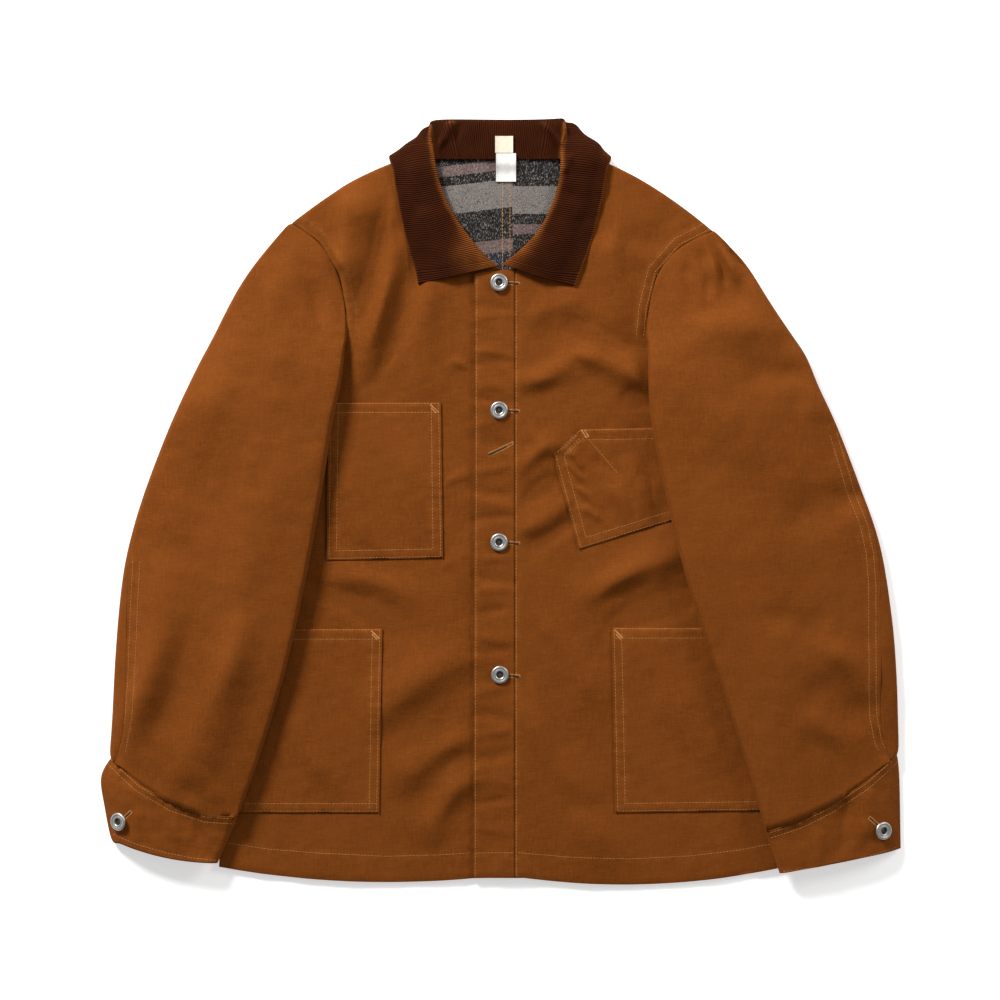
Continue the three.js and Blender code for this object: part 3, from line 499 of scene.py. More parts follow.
def smooth_mesh(bm, name, levels, hold=0.9):
    """The bmesh's subdivision surface as a plain mesh, held to the bmesh's own points."""
    rough = bpy.data.meshes.new(name + "_rough")
    bm.to_mesh(rough)
    bm.free()
    holder = bpy.data.objects.new(name + "_rough", rough)
    bpy.context.scene.collection.objects.link(holder)
    subdivide = holder.modifiers.new("Smooth", "SUBSURF")
    subdivide.levels = subdivide.render_levels = levels
    subdivide.boundary_smooth = "ALL"
    wanted = read(rough)
    for _ in range(2):
        smoothed = read(holder.evaluated_get(bpy.context.evaluated_depsgraph_get()).data)
        write(rough, read(rough) + hold * (wanted - smoothed[: len(wanted)]))
    depsgraph = bpy.context.evaluated_depsgraph_get()
    mesh = bpy.data.meshes.new_from_object(
        holder.evaluated_get(depsgraph), preserve_all_data_layers=True, depsgraph=depsgraph
    )
    bpy.data.objects.remove(holder)
    bpy.data.meshes.remove(rough)
    mesh.name = name
    return mesh


def round_edges(mesh, wall, radius=0.7):
    """Rounds the upper edge of a laid panel, as a turned edge of cloth is."""
    points = read(mesh)
    up = read(mesh, "normal")[:, 2]
    corner = np.flatnonzero((up > 0.3) & (up < 0.93))
    tree = KDTree(len(corner))
    for k in corner:
        tree.insert((points[k][0], points[k][1], 0), int(k))
    tree.balance()
    for k, (x, y, z) in enumerate(points.copy()):
        if up[k] < -0.3:
            continue
        _, nearest, distance = tree.find((x, y, 0))
        if up[k] > 0.3 and distance < radius:
            points[k][2] -= radius - math.sqrt(max(radius**2 - (radius - distance) ** 2, 0))
        elif up[k] <= 0.3:
            share = (z - points[nearest][2] + wall) / wall
            points[k][2] -= radius * min(max(share, 0), 1)
    write(mesh, points)


def add_piece(name, mesh, material, nodes, sharp=40):
    points = read(mesh)
    points[:, 2] = np.maximum(points[:, 2], 0.0)
    write(mesh, points)
    mesh.materials.clear()
    mesh.materials.append(material)
    mesh.polygons.foreach_set("use_smooth", [True] * len(mesh.polygons))
    if sharp:
        mesh.set_sharp_from_angle(angle=math.radians(sharp))
    piece = bpy.data.objects.new(name, mesh)
    bpy.context.scene.collection.objects.link(piece)
    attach(piece, "root")
    if nodes:
        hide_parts(*nodes)
    return piece


def laid_cloth(node, levels, wall, material, shape=None, radius=0.7, on_front=False):
    """A laid panel: the CAD form made smooth, then moved by shape(x, y) -> ridge, trough."""
    bm = merged_copy(node)
    crease_edges(bm, 40)
    mesh = smooth_mesh(bm, "cloth_" + node, levels)
    if radius:
        round_edges(mesh, wall, radius)
    if shape:
        points = read(mesh)
        up = read(mesh, "normal")[:, 2]
        if node in UNDERARMS:
            edge_x = UNDERARMS[node]
            near = np.exp(-(((points[:, 0] - edge_x) / 9) ** 2))
            near *= ramp(points[:, 1], 92, 112) * (1 - ramp(points[:, 1], 152, 176))
            points[:, 0] += math.copysign(7.0, edge_x) * near
        if node in ("placket", "front_left"):
            draw_to(points, PLACKET_EDGE, 0.45, 4)
        ridge, trough = shape(points[:, 0], points[:, 1])
        share = 1.0 if on_front else ramp(up, -0.3, 0.3)
        points[:, 2] += ridge + np.maximum(trough, -DEEPEST) * share
        write(mesh, points)
    return add_piece("cloth_" + node, mesh, material, [node])


def body_shape(x, y):
    """How the fronts, and everything that lies on them, stand up from their flat lie."""
    ridge, trough = fold_height(BODY_FOLDS, x, y)
    side = np.where(x < 0, -x, x)
    inner_edge = np.interp(y, [-300, -180, -97, -7, 77, 145], [250, 208, 188, 170, 155, 146])
    clear = 1 - ramp(side, inner_edge + 2, inner_edge + 22) * (1 - ramp(y, 150, 176))
    for seam in BODY_SEAMS[:2]:
        clear = clear * ramp(nearest_on(seam.points, x, y)[0], -2, 7)
    under_collar = 1 - ramp(y, 232, 262) * (1 - ramp(side, 96, 112))
    fine = rumple(x, y, 5, 16, 120, 0.28)
    puckers = seam_height(BODY_SEAMS + POCKET_SEAMS, x, y, 0.16)
    hem = 0.5 * ramp(-y, 300, 358) * np.sin(x / 13.0 + 1.8 * np.sin(x / 41.0))
    rest = (fine + puckers + hem) * clear
    ridge = (ridge * under_collar) * clear + np.maximum(rest, 0)
    trough = (trough * under_collar) * clear + np.minimum(rest, 0)
    return ridge, trough


# ---------- materials ----------
class Nodes:
    """Builds one material's node tree."""

    def __init__(self, name):
        self.material = bpy.data.materials.new(name)
        self.material.use_nodes = True
        self.tree = self.material.node_tree
        self.tree.nodes.clear()
        self.output = self.add("ShaderNodeOutputMaterial")

    def add(self, kind, inputs=None, **settings):
        made = self.tree.nodes.new(kind)
        for key, value in settings.items():
            setattr(made, key, value)
        for key, value in (inputs or {}).items():
            if isinstance(value, bpy.types.NodeSocket):
                self.tree.links.new(value, made.inputs[key])
            else:
                made.inputs[key].default_value = value
        return made

    def place(self, turn=0.0, stretch=(1, 1, 1)):
        """Object coordinates, turned about Z and stretched."""
        coordinates = self.add("ShaderNodeTexCoord").outputs["Object"]
        mapped = self.add(
            "ShaderNodeMapping",
            {"Vector": coordinates, "Rotation": (0, 0, turn), "Scale": stretch},
        )
        return mapped.outputs["Vector"]

    def noise(self, vector, scale, detail=2.0, roughness=0.5, distortion=0.0):
        made = self.add(
            "ShaderNodeTexNoise",
            {"Vector": vector, "Scale": scale, "Detail": detail, "Roughness": roughness,
             "Distortion": distortion},
        )
        return made.outputs["Fac"]

    def wave(self, vector, scale, axis, distortion=0.0, detail_scale=1.0):
        made = self.add(
            "ShaderNodeTexWave",
            {"Vector": vector, "Scale": scale, "Distortion": distortion,
             "Detail Scale": detail_scale},
            wave_type="BANDS", bands_direction=axis,
        )
        return made.outputs["Fac"]

    def math(self, operation, first, second=0.0):
        made = self.add("ShaderNodeMath", {0: first, 1: second}, operation=operation)
        return made.outputs[0]

    def fit(self, value, low, high, to_low, to_high):
        made = self.add(
            "ShaderNodeMapRange",
            {"Value": value, "From Min": low, "From Max": high, "To Min": to_low,
             "To Max": to_high},
        )
        return made.outputs["Result"]

    def mix(self, share, first, second, blend="MIX"):
        made = self.add("ShaderNodeMix", data_type="RGBA", blend_type=blend)
        for socket, value in ((0, share), (6, first), (7, second)):
            if isinstance(value, bpy.types.NodeSocket):
                self.tree.links.new(value, made.inputs[socket])
            else:
                made.inputs[socket].default_value = value
        return made.outputs[2]

    def bump(self, height, distance, strength=1.0, normal=None):
        inputs = {"Height": height, "Distance": distance, "Strength": strength}
        if normal is not None:
            inputs["Normal"] = normal
        return self.add("ShaderNodeBump", inputs).outputs["Normal"]

    def finish(self, **inputs):
        words = {key.replace("_", " "): value for key, value in inputs.items()}
        surface = self.add("ShaderNodeBsdfPrincipled", words)
        self.tree.links.new(surface.outputs["BSDF"], self.output.inputs["Surface"])
        return self.material


def made_once(name, make):
    return bpy.data.materials.get(name) or make(name)


def canvas(turn=0.0, name="duck_canvas"):
    """Firm duck: plain weave with slubs, washed a little lighter on its high places."""

    def make(name):
        n = Nodes(name)
        base = colours().canvas
        place = n.place(turn)
        scale = math.tau / (20 * sizes().yarn_pitch)
        warp = n.wave(place, scale, "X", 1.6, 3.0)
        weft = n.wave(place, scale, "Y", 1.6, 3.0)
        weave = n.math("MULTIPLY", warp, weft)
        slub_across = n.noise(n.place(turn, (90, 900, 400)), 1.0, 2.0)
        slub_along = n.noise(n.place(turn, (900, 90, 400)), 1.0, 2.0)
        slubs = n.math("ADD", slub_across, slub_along)
        grain = n.noise(place, 620, 3.0, 0.65)
        clouds = n.noise(place, 9, 3.0, 0.55)
        colour = n.mix(n.fit(slubs, 0.7, 1.3, 0, 1), rgba(base, 0.80), rgba(base, 1.20))
        colour = n.mix(n.fit(grain, 0.3, 0.7, 0, 0.55), colour, rgba(base, 0.72))
        colour = n.mix(n.fit(clouds, 0.35, 0.7, 0, 0.4), colour, rgba((base[0] * 1.16, base[1] * 1.2, base[2] * 1.4)))
        near = n.add("ShaderNodeAttribute", attribute_name="seam_near").outputs["Fac"]
        worn = n.math("MULTIPLY", near, n.fit(n.noise(place, 160, 2.0), 0.4, 0.65, 0, 0.5))
        colour = n.mix(worn, colour, rgba((base[0] * 1.35, base[1] * 1.5, base[2] * 1.9)))
        height = n.math("ADD", n.math("MULTIPLY", weave, 0.5), n.math("MULTIPLY", slubs, 0.5))
        fine = n.bump(height, 0.00022, 0.75)
        soft = n.bump(n.noise(place, 75, 3.0, 0.6), 0.0011, 0.55, fine)
        return n.finish(
            Base_Color=colour, Roughness=0.8, Sheen_Weight=0.06, Sheen_Roughness=0.4,
            Sheen_Tint=(0.9, 0.45, 0.12, 1), Specular_IOR_Level=0.05, Normal=soft,
        )

    return made_once(name, make)


def corduroy():
    """Wales across the collar's band, with painted highlight where their pile catches light on the curves."""

    def make(name):
        n = Nodes(name)
        base = colours().corduroy
        place = n.place()
        along = n.add("ShaderNodeAttribute", attribute_name="along").outputs["Fac"]
        wander = n.math("MULTIPLY", n.fit(n.noise(place, 60, 2.0), 0, 1, -1, 1), 0.00035)
        turns = n.math("MULTIPLY", n.math("ADD", along, wander), math.pi / sizes().wale_pitch)
        wale = n.math("ABSOLUTE", n.math("SINE", turns))
        ridge = n.math("POWER", wale, 0.6)
        pile = n.noise(place, 1500, 2.0, 0.6)
        clouds = n.noise(place, 34, 3.0, 0.6)
        # painted shade darkens the grooves between the wales, and painted light brightens their tops
        colour = n.mix(n.fit(ridge, 0.25, 0.95, 0, 1), rgba(base, 0.16), rgba(base, 1.5))
        colour = n.mix(n.fit(clouds, 0.4, 0.68, 0, 0.5), colour, rgba((base[0] * 2.0, base[1] * 2.1, base[2] * 2.0)))
        colour = n.mix(n.fit(pile, 0.3, 0.7, 0, 0.5), colour, rgba(base, 0.55))
        # painted highlight mixed with worn pile: the pile sheen colour is painted on the roll and outer edge, strongest
        # on the wale tops
        rubbed_and_highlit = n.add("ShaderNodeAttribute", attribute_name="rubbed_and_highlit").outputs["Fac"]
        highlit_ridges = n.math("MULTIPLY", rubbed_and_highlit, n.fit(ridge, 0.45, 0.95, 0.12, 1))
        highlit_ridges = n.math("MULTIPLY", highlit_ridges, n.fit(clouds, 0.3, 0.6, 0.45, 1))
        colour = n.mix(highlit_ridges, colour, rgba(colours().pile_sheen))
        height = n.math("ADD", ridge, n.math("MULTIPLY", pile, 0.18))
        normal = n.bump(height, 0.0009, 1.0)
        return n.finish(
            Base_Color=colour, Roughness=0.8, Sheen_Weight=0.35, Sheen_Roughness=0.34,
            Sheen_Tint=rgba(colours().pile_sheen), Specular_IOR_Level=0.04, Normal=normal,
        )

    return made_once("corduroy_pile", make)


def stripes(name, edges, slant):
    """Blanket stripes across a lining half. edges are (height, colour name) from the top."""

    def make(name):
        n = Nodes(name)
        tones = {
            "dark": rgba(colours().lining_dark), "light": rgba(colours().lining_light),
            "rose": rgba(colours().lining_pink), "navy": (0.012, 0.018, 0.03, 1),
        }
        place = n.place()
        split = n.add("ShaderNodeSeparateXYZ", {"Vector": place})
        level = n.math("SUBTRACT", split.outputs["Y"], n.math("MULTIPLY", split.outputs["X"], slant))
        fuzz = n.fit(n.noise(place, 900, 2.0), 0, 1, -0.0011, 0.0011)
        level = n.math("ADD", level, fuzz)
        ramp_node = n.add(
            "ShaderNodeValToRGB", {"Fac": n.fit(level, 0.200, 0.340, 0, 1)}
        )
        elements = ramp_node.color_ramp.elements
        ramp_node.color_ramp.interpolation = "CONSTANT"
        ordered = sorted(edges)
        elements[0].position = 0
        elements[0].color = tones[ordered[0][1]]
        elements[1].position = (ordered[1][0] - 200) / 140
        elements[1].color = tones[ordered[1][1]]
        for start, tone in ordered[2:]:
            elements.new((start - 200) / 140).color = tones[tone]
        fibres = n.noise(n.place(0.05, (1050, 420, 800)), 1.0, 3.0, 0.7)
        specks = n.noise(n.place(-0.1, (900, 620, 700)), 1.0, 2.0, 0.6)
        colour = n.mix(n.fit(fibres, 0.53, 0.62, 0, 0.8), ramp_node.outputs["Color"], rgba(colours().lining_light, 1.5))
        colour = n.mix(n.fit(specks, 0.54, 0.64, 0, 0.66), colour, rgba(colours().lining_dark, 1.5))
        normal = n.bump(n.math("ADD", fibres, specks), 0.0007, 0.8)
        return n.finish(
            Base_Color=colour, Roughness=0.95, Sheen_Weight=0.1, Sheen_Roughness=0.6,
            Specular_IOR_Level=0.05, Normal=normal,
        )

    return made_once(name, make)


def tape(name, tint):
    def make(name):
        n = Nodes(name)
        base = colours().label
        colour = (base[0] * tint[0], base[1] * tint[1], base[2] * tint[2])
        place = n.place()
        rib = n.wave(place, math.tau / (20 * 0.0005), "Y", 0.6, 2.0)
        mottle = n.noise(place, 260, 3.0)
        mixed = n.mix(n.fit(mottle, 0.35, 0.7, 0, 1), rgba(colour), rgba(colour, 0.86))
        return n.finish(
            Base_Color=mixed, Roughness=0.7, Sheen_Weight=0.1, Normal=n.bump(rib, 0.0001, 0.6)
        )

    return made_once(name, make)


def thread(name="sewing_thread", factor=1.0):
    def make(name):
        n = Nodes(name)
        base = colours().thread
        place = n.place()
        twist = n.wave(place, math.tau / (20 * 0.0007), "DIAGONAL", 1.0, 2.0)
        mottle = n.noise(place, 300, 2.0)
        colour = n.mix(n.fit(mottle, 0.3, 0.7, 0, 1), rgba(base, 0.8 * factor), rgba(base, 1.15 * factor))
        return n.finish(
            Base_Color=colour, Roughness=0.7, Specular_IOR_Level=0.08,
            Normal=n.bump(twist, 0.0001, 0.5),
        )

    return made_once(name, make)


def button_metal():
    def make(name):
        n = Nodes(name)
        base = colours().metal
        place = n.place()
        wear = n.noise(place, 420, 4.0, 0.7)
        scratch = n.noise(n.place(0.6, (2600, 200, 900)), 1.0, 2.0)
        colour = n.mix(n.fit(wear, 0.35, 0.75, 0, 1), rgba(base), rgba(base, 0.62))
        rough = n.fit(wear, 0.3, 0.7, 0.34, 0.52)
        return n.finish(
            Base_Color=colour, Metallic=0.9, Roughness=rough, Normal=n.bump(scratch, 0.00006, 0.6)
        )

    return made_once("button_metal", make)


def dark_metal():
    def make(name):
        n = Nodes(name)
        patina = n.noise(n.place(), 700, 3.0)
        colour = n.mix(patina, (0.03, 0.027, 0.024, 1), (0.12, 0.11, 0.10, 1))
        return n.finish(Base_Color=colour, Metallic=0.7, Roughness=0.5)

    return made_once("button_recess", make)


# A dark sheet laid in each buttonhole's cut: painted shade where the cut shows only shadow.
def painted_slit_shade():
    def make(name):
        n = Nodes(name)
        slit_shade_mottle = n.noise(n.place(), 900, 2.0)
        colour = n.mix(slit_shade_mottle, (0.010, 0.005, 0.003, 1), (0.035, 0.014, 0.006, 1))
        return n.finish(Base_Color=colour, Roughness=0.95)

    return made_once("buttonhole_slit", make)


def floor_paint():
    def make(name):
        n = Nodes(name)
        base = colours().floor
        mottle = n.noise(n.place(), 14, 2.0)
        colour = n.mix(mottle, rgba(base, 0.995), rgba(base, 1.005))
        return n.finish(
            Base_Color=colour, Roughness=0.9, Specular_IOR_Level=0.1,
            Emission_Color=rgba(base), Emission_Strength=0.5,
        )

    return made_once("pale_floor", make)


# ---------- things that lie on the cloth ----------
def surface_of(names):
    """One tree for casting rays down onto the named pieces."""
    points, faces = [], []
    for name in names:
        mesh = bpy.data.objects[name].data
        first = len(points)
        points.extend(v.co.copy() for v in mesh.vertices)
        faces.extend([first + k for k in polygon.vertices] for polygon in mesh.polygons)
    return BVHTree.FromPolygons(points, faces)


def drop(surface, x, y):
    """The point and upward normal of the cloth under (x, y), in metres."""
    place, normal, _, _ = surface.ray_cast(Vector((x * MM, y * MM, 0.1)), Vector((0, 0, -1)))
    return place, normal


def beside(points, distance):
    """The line that runs a distance to the left of another, mitred at its corners."""
    moved = []
    for k, (x, y) in enumerate(points):
        before = points[max(k - 1, 0)]
        after = points[min(k + 1, len(points) - 1)]
        normals = []
        for start, end in ((before, (x, y)), ((x, y), after)):
            run = Vector((end[0] - start[0], end[1] - start[1]))
            if run.length > 1e-6:
                run.normalize()
                normals.append(Vector((-run.y, run.x)))
        mean = sum(normals, Vector((0, 0))).normalized()
        reach = distance / max(mean.dot(normals[0]), 0.4)
        moved.append((x + mean.x * reach, y + mean.y * reach))
    return moved


def evenly(points, pitch):
    """Places spaced evenly along a line, each with its direction."""
    places = []
    carried = pitch / 2
    for (ax, ay), (bx, by) in zip(points, points[1:]):
        length = math.hypot(bx - ax, by - ay)
        step = carried
        while step < length:
            share = step / length
            places.append((ax + (bx - ax) * share, ay + (by - ay) * share, (bx - ax) / length, (by - ay) / length))
            step += pitch
        carried = step - length
    return places


def lay_stitches(name, placed, material, surface):
    """One mesh of many stitches. placed holds (x, y, run x, run y, length, width)."""
    template = bpy.data.meshes.new("stitch")
    bm = bmesh.new()
    bmesh.ops.create_uvsphere(bm, u_segments=6, v_segments=4, radius=0.5)
    bmesh.ops.rotate(bm, verts=bm.verts, cent=(0, 0, 0), matrix=Matrix.Rotation(math.pi / 2, 3, "Y"))
    bm.to_mesh(template)
    bm.free()
    shape = np.array([v.co[:] for v in template.vertices])
    spots = []
    for x, y, run_x, run_y, length, width in placed:
        place, up = drop(surface, x, y)
        if place is None or up.z < 0.15:
            continue
        run = Vector((run_x, run_y, 0))
        run = (run - up * run.dot(up)).normalized()
        across = up.cross(run)
        axes = np.array([run * length, across * width, up * width * 0.62])
        spots.append(shape @ axes * MM + np.array(place + up * width * 0.14 * MM))
    bm = bmesh.new()
    for _ in spots:
        bm.from_mesh(template)
    mesh = bpy.data.meshes.new(name)
    bm.to_mesh(mesh)
    bm.free()
    mesh.vertices.foreach_set("co", np.concatenate(spots).astype(np.float32).ravel())
    mesh.update()
    bpy.data.meshes.remove(template)
    return add_piece(name, mesh, material, [], sharp=0)


def stitched(seams):
    """The places of every stitch in the seams' rows."""
    size = sizes()
    length = size.stitch_length / MM
    pitch = length + size.stitch_gap / MM
    width = size.thread_width / MM
    placed = []
    for seam in seams:
        for row in seam.rows:
            line = beside(seam.points, row)
            placed += [(*spot, length, width) for spot in evenly(line, pitch)]
    return placed


def mark_near_seams(piece, seams):
    """Stores how near each point is to a stitched seam, for the wear in the cloth."""
    points = read(piece.data)
    near = np.zeros(len(points))
    for seam in seams:
        distance, left, _, _, _ = nearest_on(seam.points, points[:, 0], points[:, 1])
        for row in seam.rows:
            off = np.where(distance < 40, left - row, 40)
            near = np.maximum(near, np.exp(-((off / 3.2) ** 2)))
    layer = piece.data.attributes.new("seam_near", "FLOAT", "POINT")
    layer.data.foreach_set("value", near.astype(np.float32))


# ---------- operators ----------
class JacketOperator(bpy.types.Operator):
    bl_options = {"REGISTER", "UNDO"}


class JACKET_OT_body(JacketOperator):
    """Make the back, both fronts and the placket"""

    bl_idname = "jacket.make_body"
    bl_label = "Body"

    def execute(self, context):
        back = laid_cloth("back", 2, 2.4, canvas(), radius=0)
        right = laid_cloth("front_right", 3, 2.4, canvas(), body_shape)
        left = laid_cloth("front_left", 3, 2.4, canvas(), body_shape)
        placket = laid_cloth("placket", 3, 2.6, canvas(), body_shape, 0.9, True)
        for piece in (right, left, placket):
            mark_near_seams(piece, BODY_SEAMS)
        return {"FINISHED"}


class JACKET_OT_pockets(JacketOperator):
    """Make the four patch pockets"""

    bl_idname = "jacket.make_pockets"
    bl_label = "Pockets"

    def execute(self, context):
        cuts = [
            ("chest_pocket_right", 0, (0.109, 0.150, 0.0160), "front_right"),
            ("chest_pocket_left", -0.27, (0.133, 0.116, 0.0117), "front_left"),
            ("hip_pocket_right", 0, (0.139, 0.176, 0.0240), "front_right"),
            ("hip_pocket_left", 0, (0.147, 0.176, 0.0250), "front_left"),
        ]
        for node, turn, (width, length, area), under in cuts:
            cloth = canvas(turn, "duck_canvas_angled") if turn else canvas()
            pocket = laid_cloth(node, 4, 1.2, cloth, body_shape, 0.6, True)
            mark_near_seams(pocket, POCKET_SEAMS)
        return {"FINISHED"}


class JACKET_OT_lining(JacketOperator):
    """Make the two halves of the striped neck lining"""

    bl_idname = "jacket.make_lining"
    bl_label = "Neck lining"

    def execute(self, context):
        right = stripes(
            "blanket_right",
            [(200, "navy"), (234.6, "rose"), (246.9, "dark"), (276.4, "light"),
             (303.2, "dark"), (312.6, "rose"), (322.0, "dark")],
            0.115,
        )
        left = stripes(
            "blanket_left",
            [(200, "dark"), (251.6, "rose"), (260.9, "dark"), (270.8, "light"), (297.2, "dark")],
            0.0,
        )

        def shape(x, y):
            total = rumple(x, y, 9, 14, 60, 0.18) + seam_height(LINING_SEAMS, x, y, 0.12)
            return np.maximum(total, 0), np.minimum(total, 0)

        for node, cloth, cut in (
            ("lining_right", right, (0.084, 0.116, 0.0071)),
            ("lining_left", left, (0.061, 0.116, 0.0048)),
        ):
            piece = laid_cloth(node, 4, 1.2, cloth, shape, 0)
        return {"FINISHED"}


def upper_share(bms):
    """For each base point of a sleeve: 1 in its upper wall, 0 in its lower wall."""
    places = [(v.co.x / MM, v.co.y / MM, v.co.z / MM) for bm in bms for v in bm.verts]
    tree = KDTree(len(places))
    for k, (x, y, _) in enumerate(places):
        tree.insert((x, y, 0), k)
    tree.balance()
    shares = []
    for x, y, z in places:
        heights = [places[k][2] for _, k, _ in tree.find_range((x, y, 0), 0.9)]
        low, high = min(heights), max(heights)
        shares.append(0.5 if high - low < 3.5 else float(z > (low + high) / 2))
    return shares


class JACKET_OT_sleeves(JacketOperator):
    """Make the upper and under pieces of both sleeves"""

    bl_idname = "jacket.make_sleeves"
    bl_label = "Sleeves"

    def execute(self, context):
        sides = [
            ("right", RIGHT_SLEEVE_FOLDS, SLEEVE_SEAMS[:1], -0.21, 21),
            ("left", LEFT_SLEEVE_FOLDS, SLEEVE_SEAMS[1:], 0.21, 34),
        ]
        for side, folds, seams, turn, seed in sides:
            names = [f"sleeve_{side}_top", f"sleeve_{side}_under"]
            bms = [merged_copy(name) for name in names]
            shares = upper_share(bms)
            cloth = canvas(turn, "duck_canvas_" + side)
            for name, bm in zip(names, bms):
                layer = bm.verts.layers.float.new("upper")
                for vertex, share in zip(bm.verts, shares):
                    vertex[layer] = share
                shares = shares[len(bm.verts):]
                crease_edges(bm, 72)
                mesh = smooth_mesh(bm, "cloth_" + name, 3)
                points = read(mesh)
                upper = np.empty(len(points), np.float32)
                mesh.attributes["upper"].data.foreach_get("value", upper)
                x, y = points[:, 0], points[:, 1]
                ridge, trough = fold_height(folds, x, y)
                fine = rumple(x, y, seed, 18, 170, 0.45) + seam_height(seams, x, y, 0.16)
                lift = (ridge + trough + fine) * ramp(upper.astype(float), 0.15, 0.85)
                at_seam = ramp(nearest_on(ARMHOLES[side], x, y)[0], -1, 5)
                points[:, 2] += lift * at_seam
                draw_to(points, ARMHOLES[side], 1.3, 7)
                if name.endswith("under"):
                    draw_to(points, CUFF_SEAMS[0 if side == "right" else 1].points, 1.6, 7)
                write(mesh, points)
                piece = add_piece("cloth_" + name, mesh, cloth, [name], sharp=60)
                mark_near_seams(piece, seams)
        return {"FINISHED"}


def heights_beside(surface, line, off, samples=48):
    """The cloth's height beside a line, at even places along it, in millimetres."""
    total = sum(math.dist(a, b) for a, b in zip(line, line[1:]))
    places, heights = [], []
    for k, (x, y, run_x, run_y) in enumerate(evenly(line, total / samples)):
        place, _ = drop(surface, x - run_y * off, y + run_x * off)
        if place is not None:
            places.append((k + 0.5) * total / samples)
            heights.append(place.z / MM)
    return places, heights


def level_seam(piece, line, heights, drop_by):
    """Brings the piece's upper wall beside a line to the given heights, and up to the line."""
    points = read(piece.data)
    distance, _, along, _, _ = nearest_on(line, points[:, 0], points[:, 1])
    step = np.interp(along, *heights) - drop_by - points[:, 2]
    weight = np.exp(-((distance / 6.5) ** 2)) * ramp(-step, -5.5, -3.0)
    points[:, 2] += step * weight
    draw_to(points, line, 1.6, 7)
    write(piece.data, points)


class JACKET_OT_cuffs(JacketOperator):
    """Make the two cuffs"""

    bl_idname = "jacket.make_cuffs"
    bl_label = "Cuffs"

    def execute(self, context):
        for side, turn, cut in (
            ("right", -0.42, (0.240, 0.056, 0.0125)),
            ("left", 0.42, (0.250, 0.065, 0.0145)),
        ):
            node = "cuff_" + side
            bm = merged_copy(node)
            crease_edges(bm, 76)
            mesh = smooth_mesh(bm, "cloth_" + node, 4)
            points = read(mesh)
            x, y = points[:, 0], points[:, 1]
            ridge, trough = fold_height(CUFF_FOLDS, x, y)
            fine = rumple(x, y, 12, 12, 60, 0.25) + seam_height(CUFF_SEAMS, x, y, 0.15)
            upper = ramp(points[:, 2], 7.5, 11)
            points[:, 2] += (ridge + trough + fine) * upper
            write(mesh, points)
            cloth = canvas(turn, "duck_canvas_cuff_" + side)
            piece = add_piece("cloth_" + node, mesh, cloth, [node], sharp=60)
            # the sleeve's end and the cuff's top lie level along their seam
            line = CUFF_SEAMS[0 if side == "right" else 1].points
            sleeve = f"cloth_sleeve_{side}_top"
            into = 7.0 if side == "right" else -7.0
            heights = heights_beside(surface_of([sleeve]), line, into)
            level_seam(bpy.data.objects[sleeve], line, heights, 0.0)
            level_seam(piece, line, heights, -0.2)
            mark_near_seams(piece, CUFF_SEAMS)
        return {"FINISHED"}


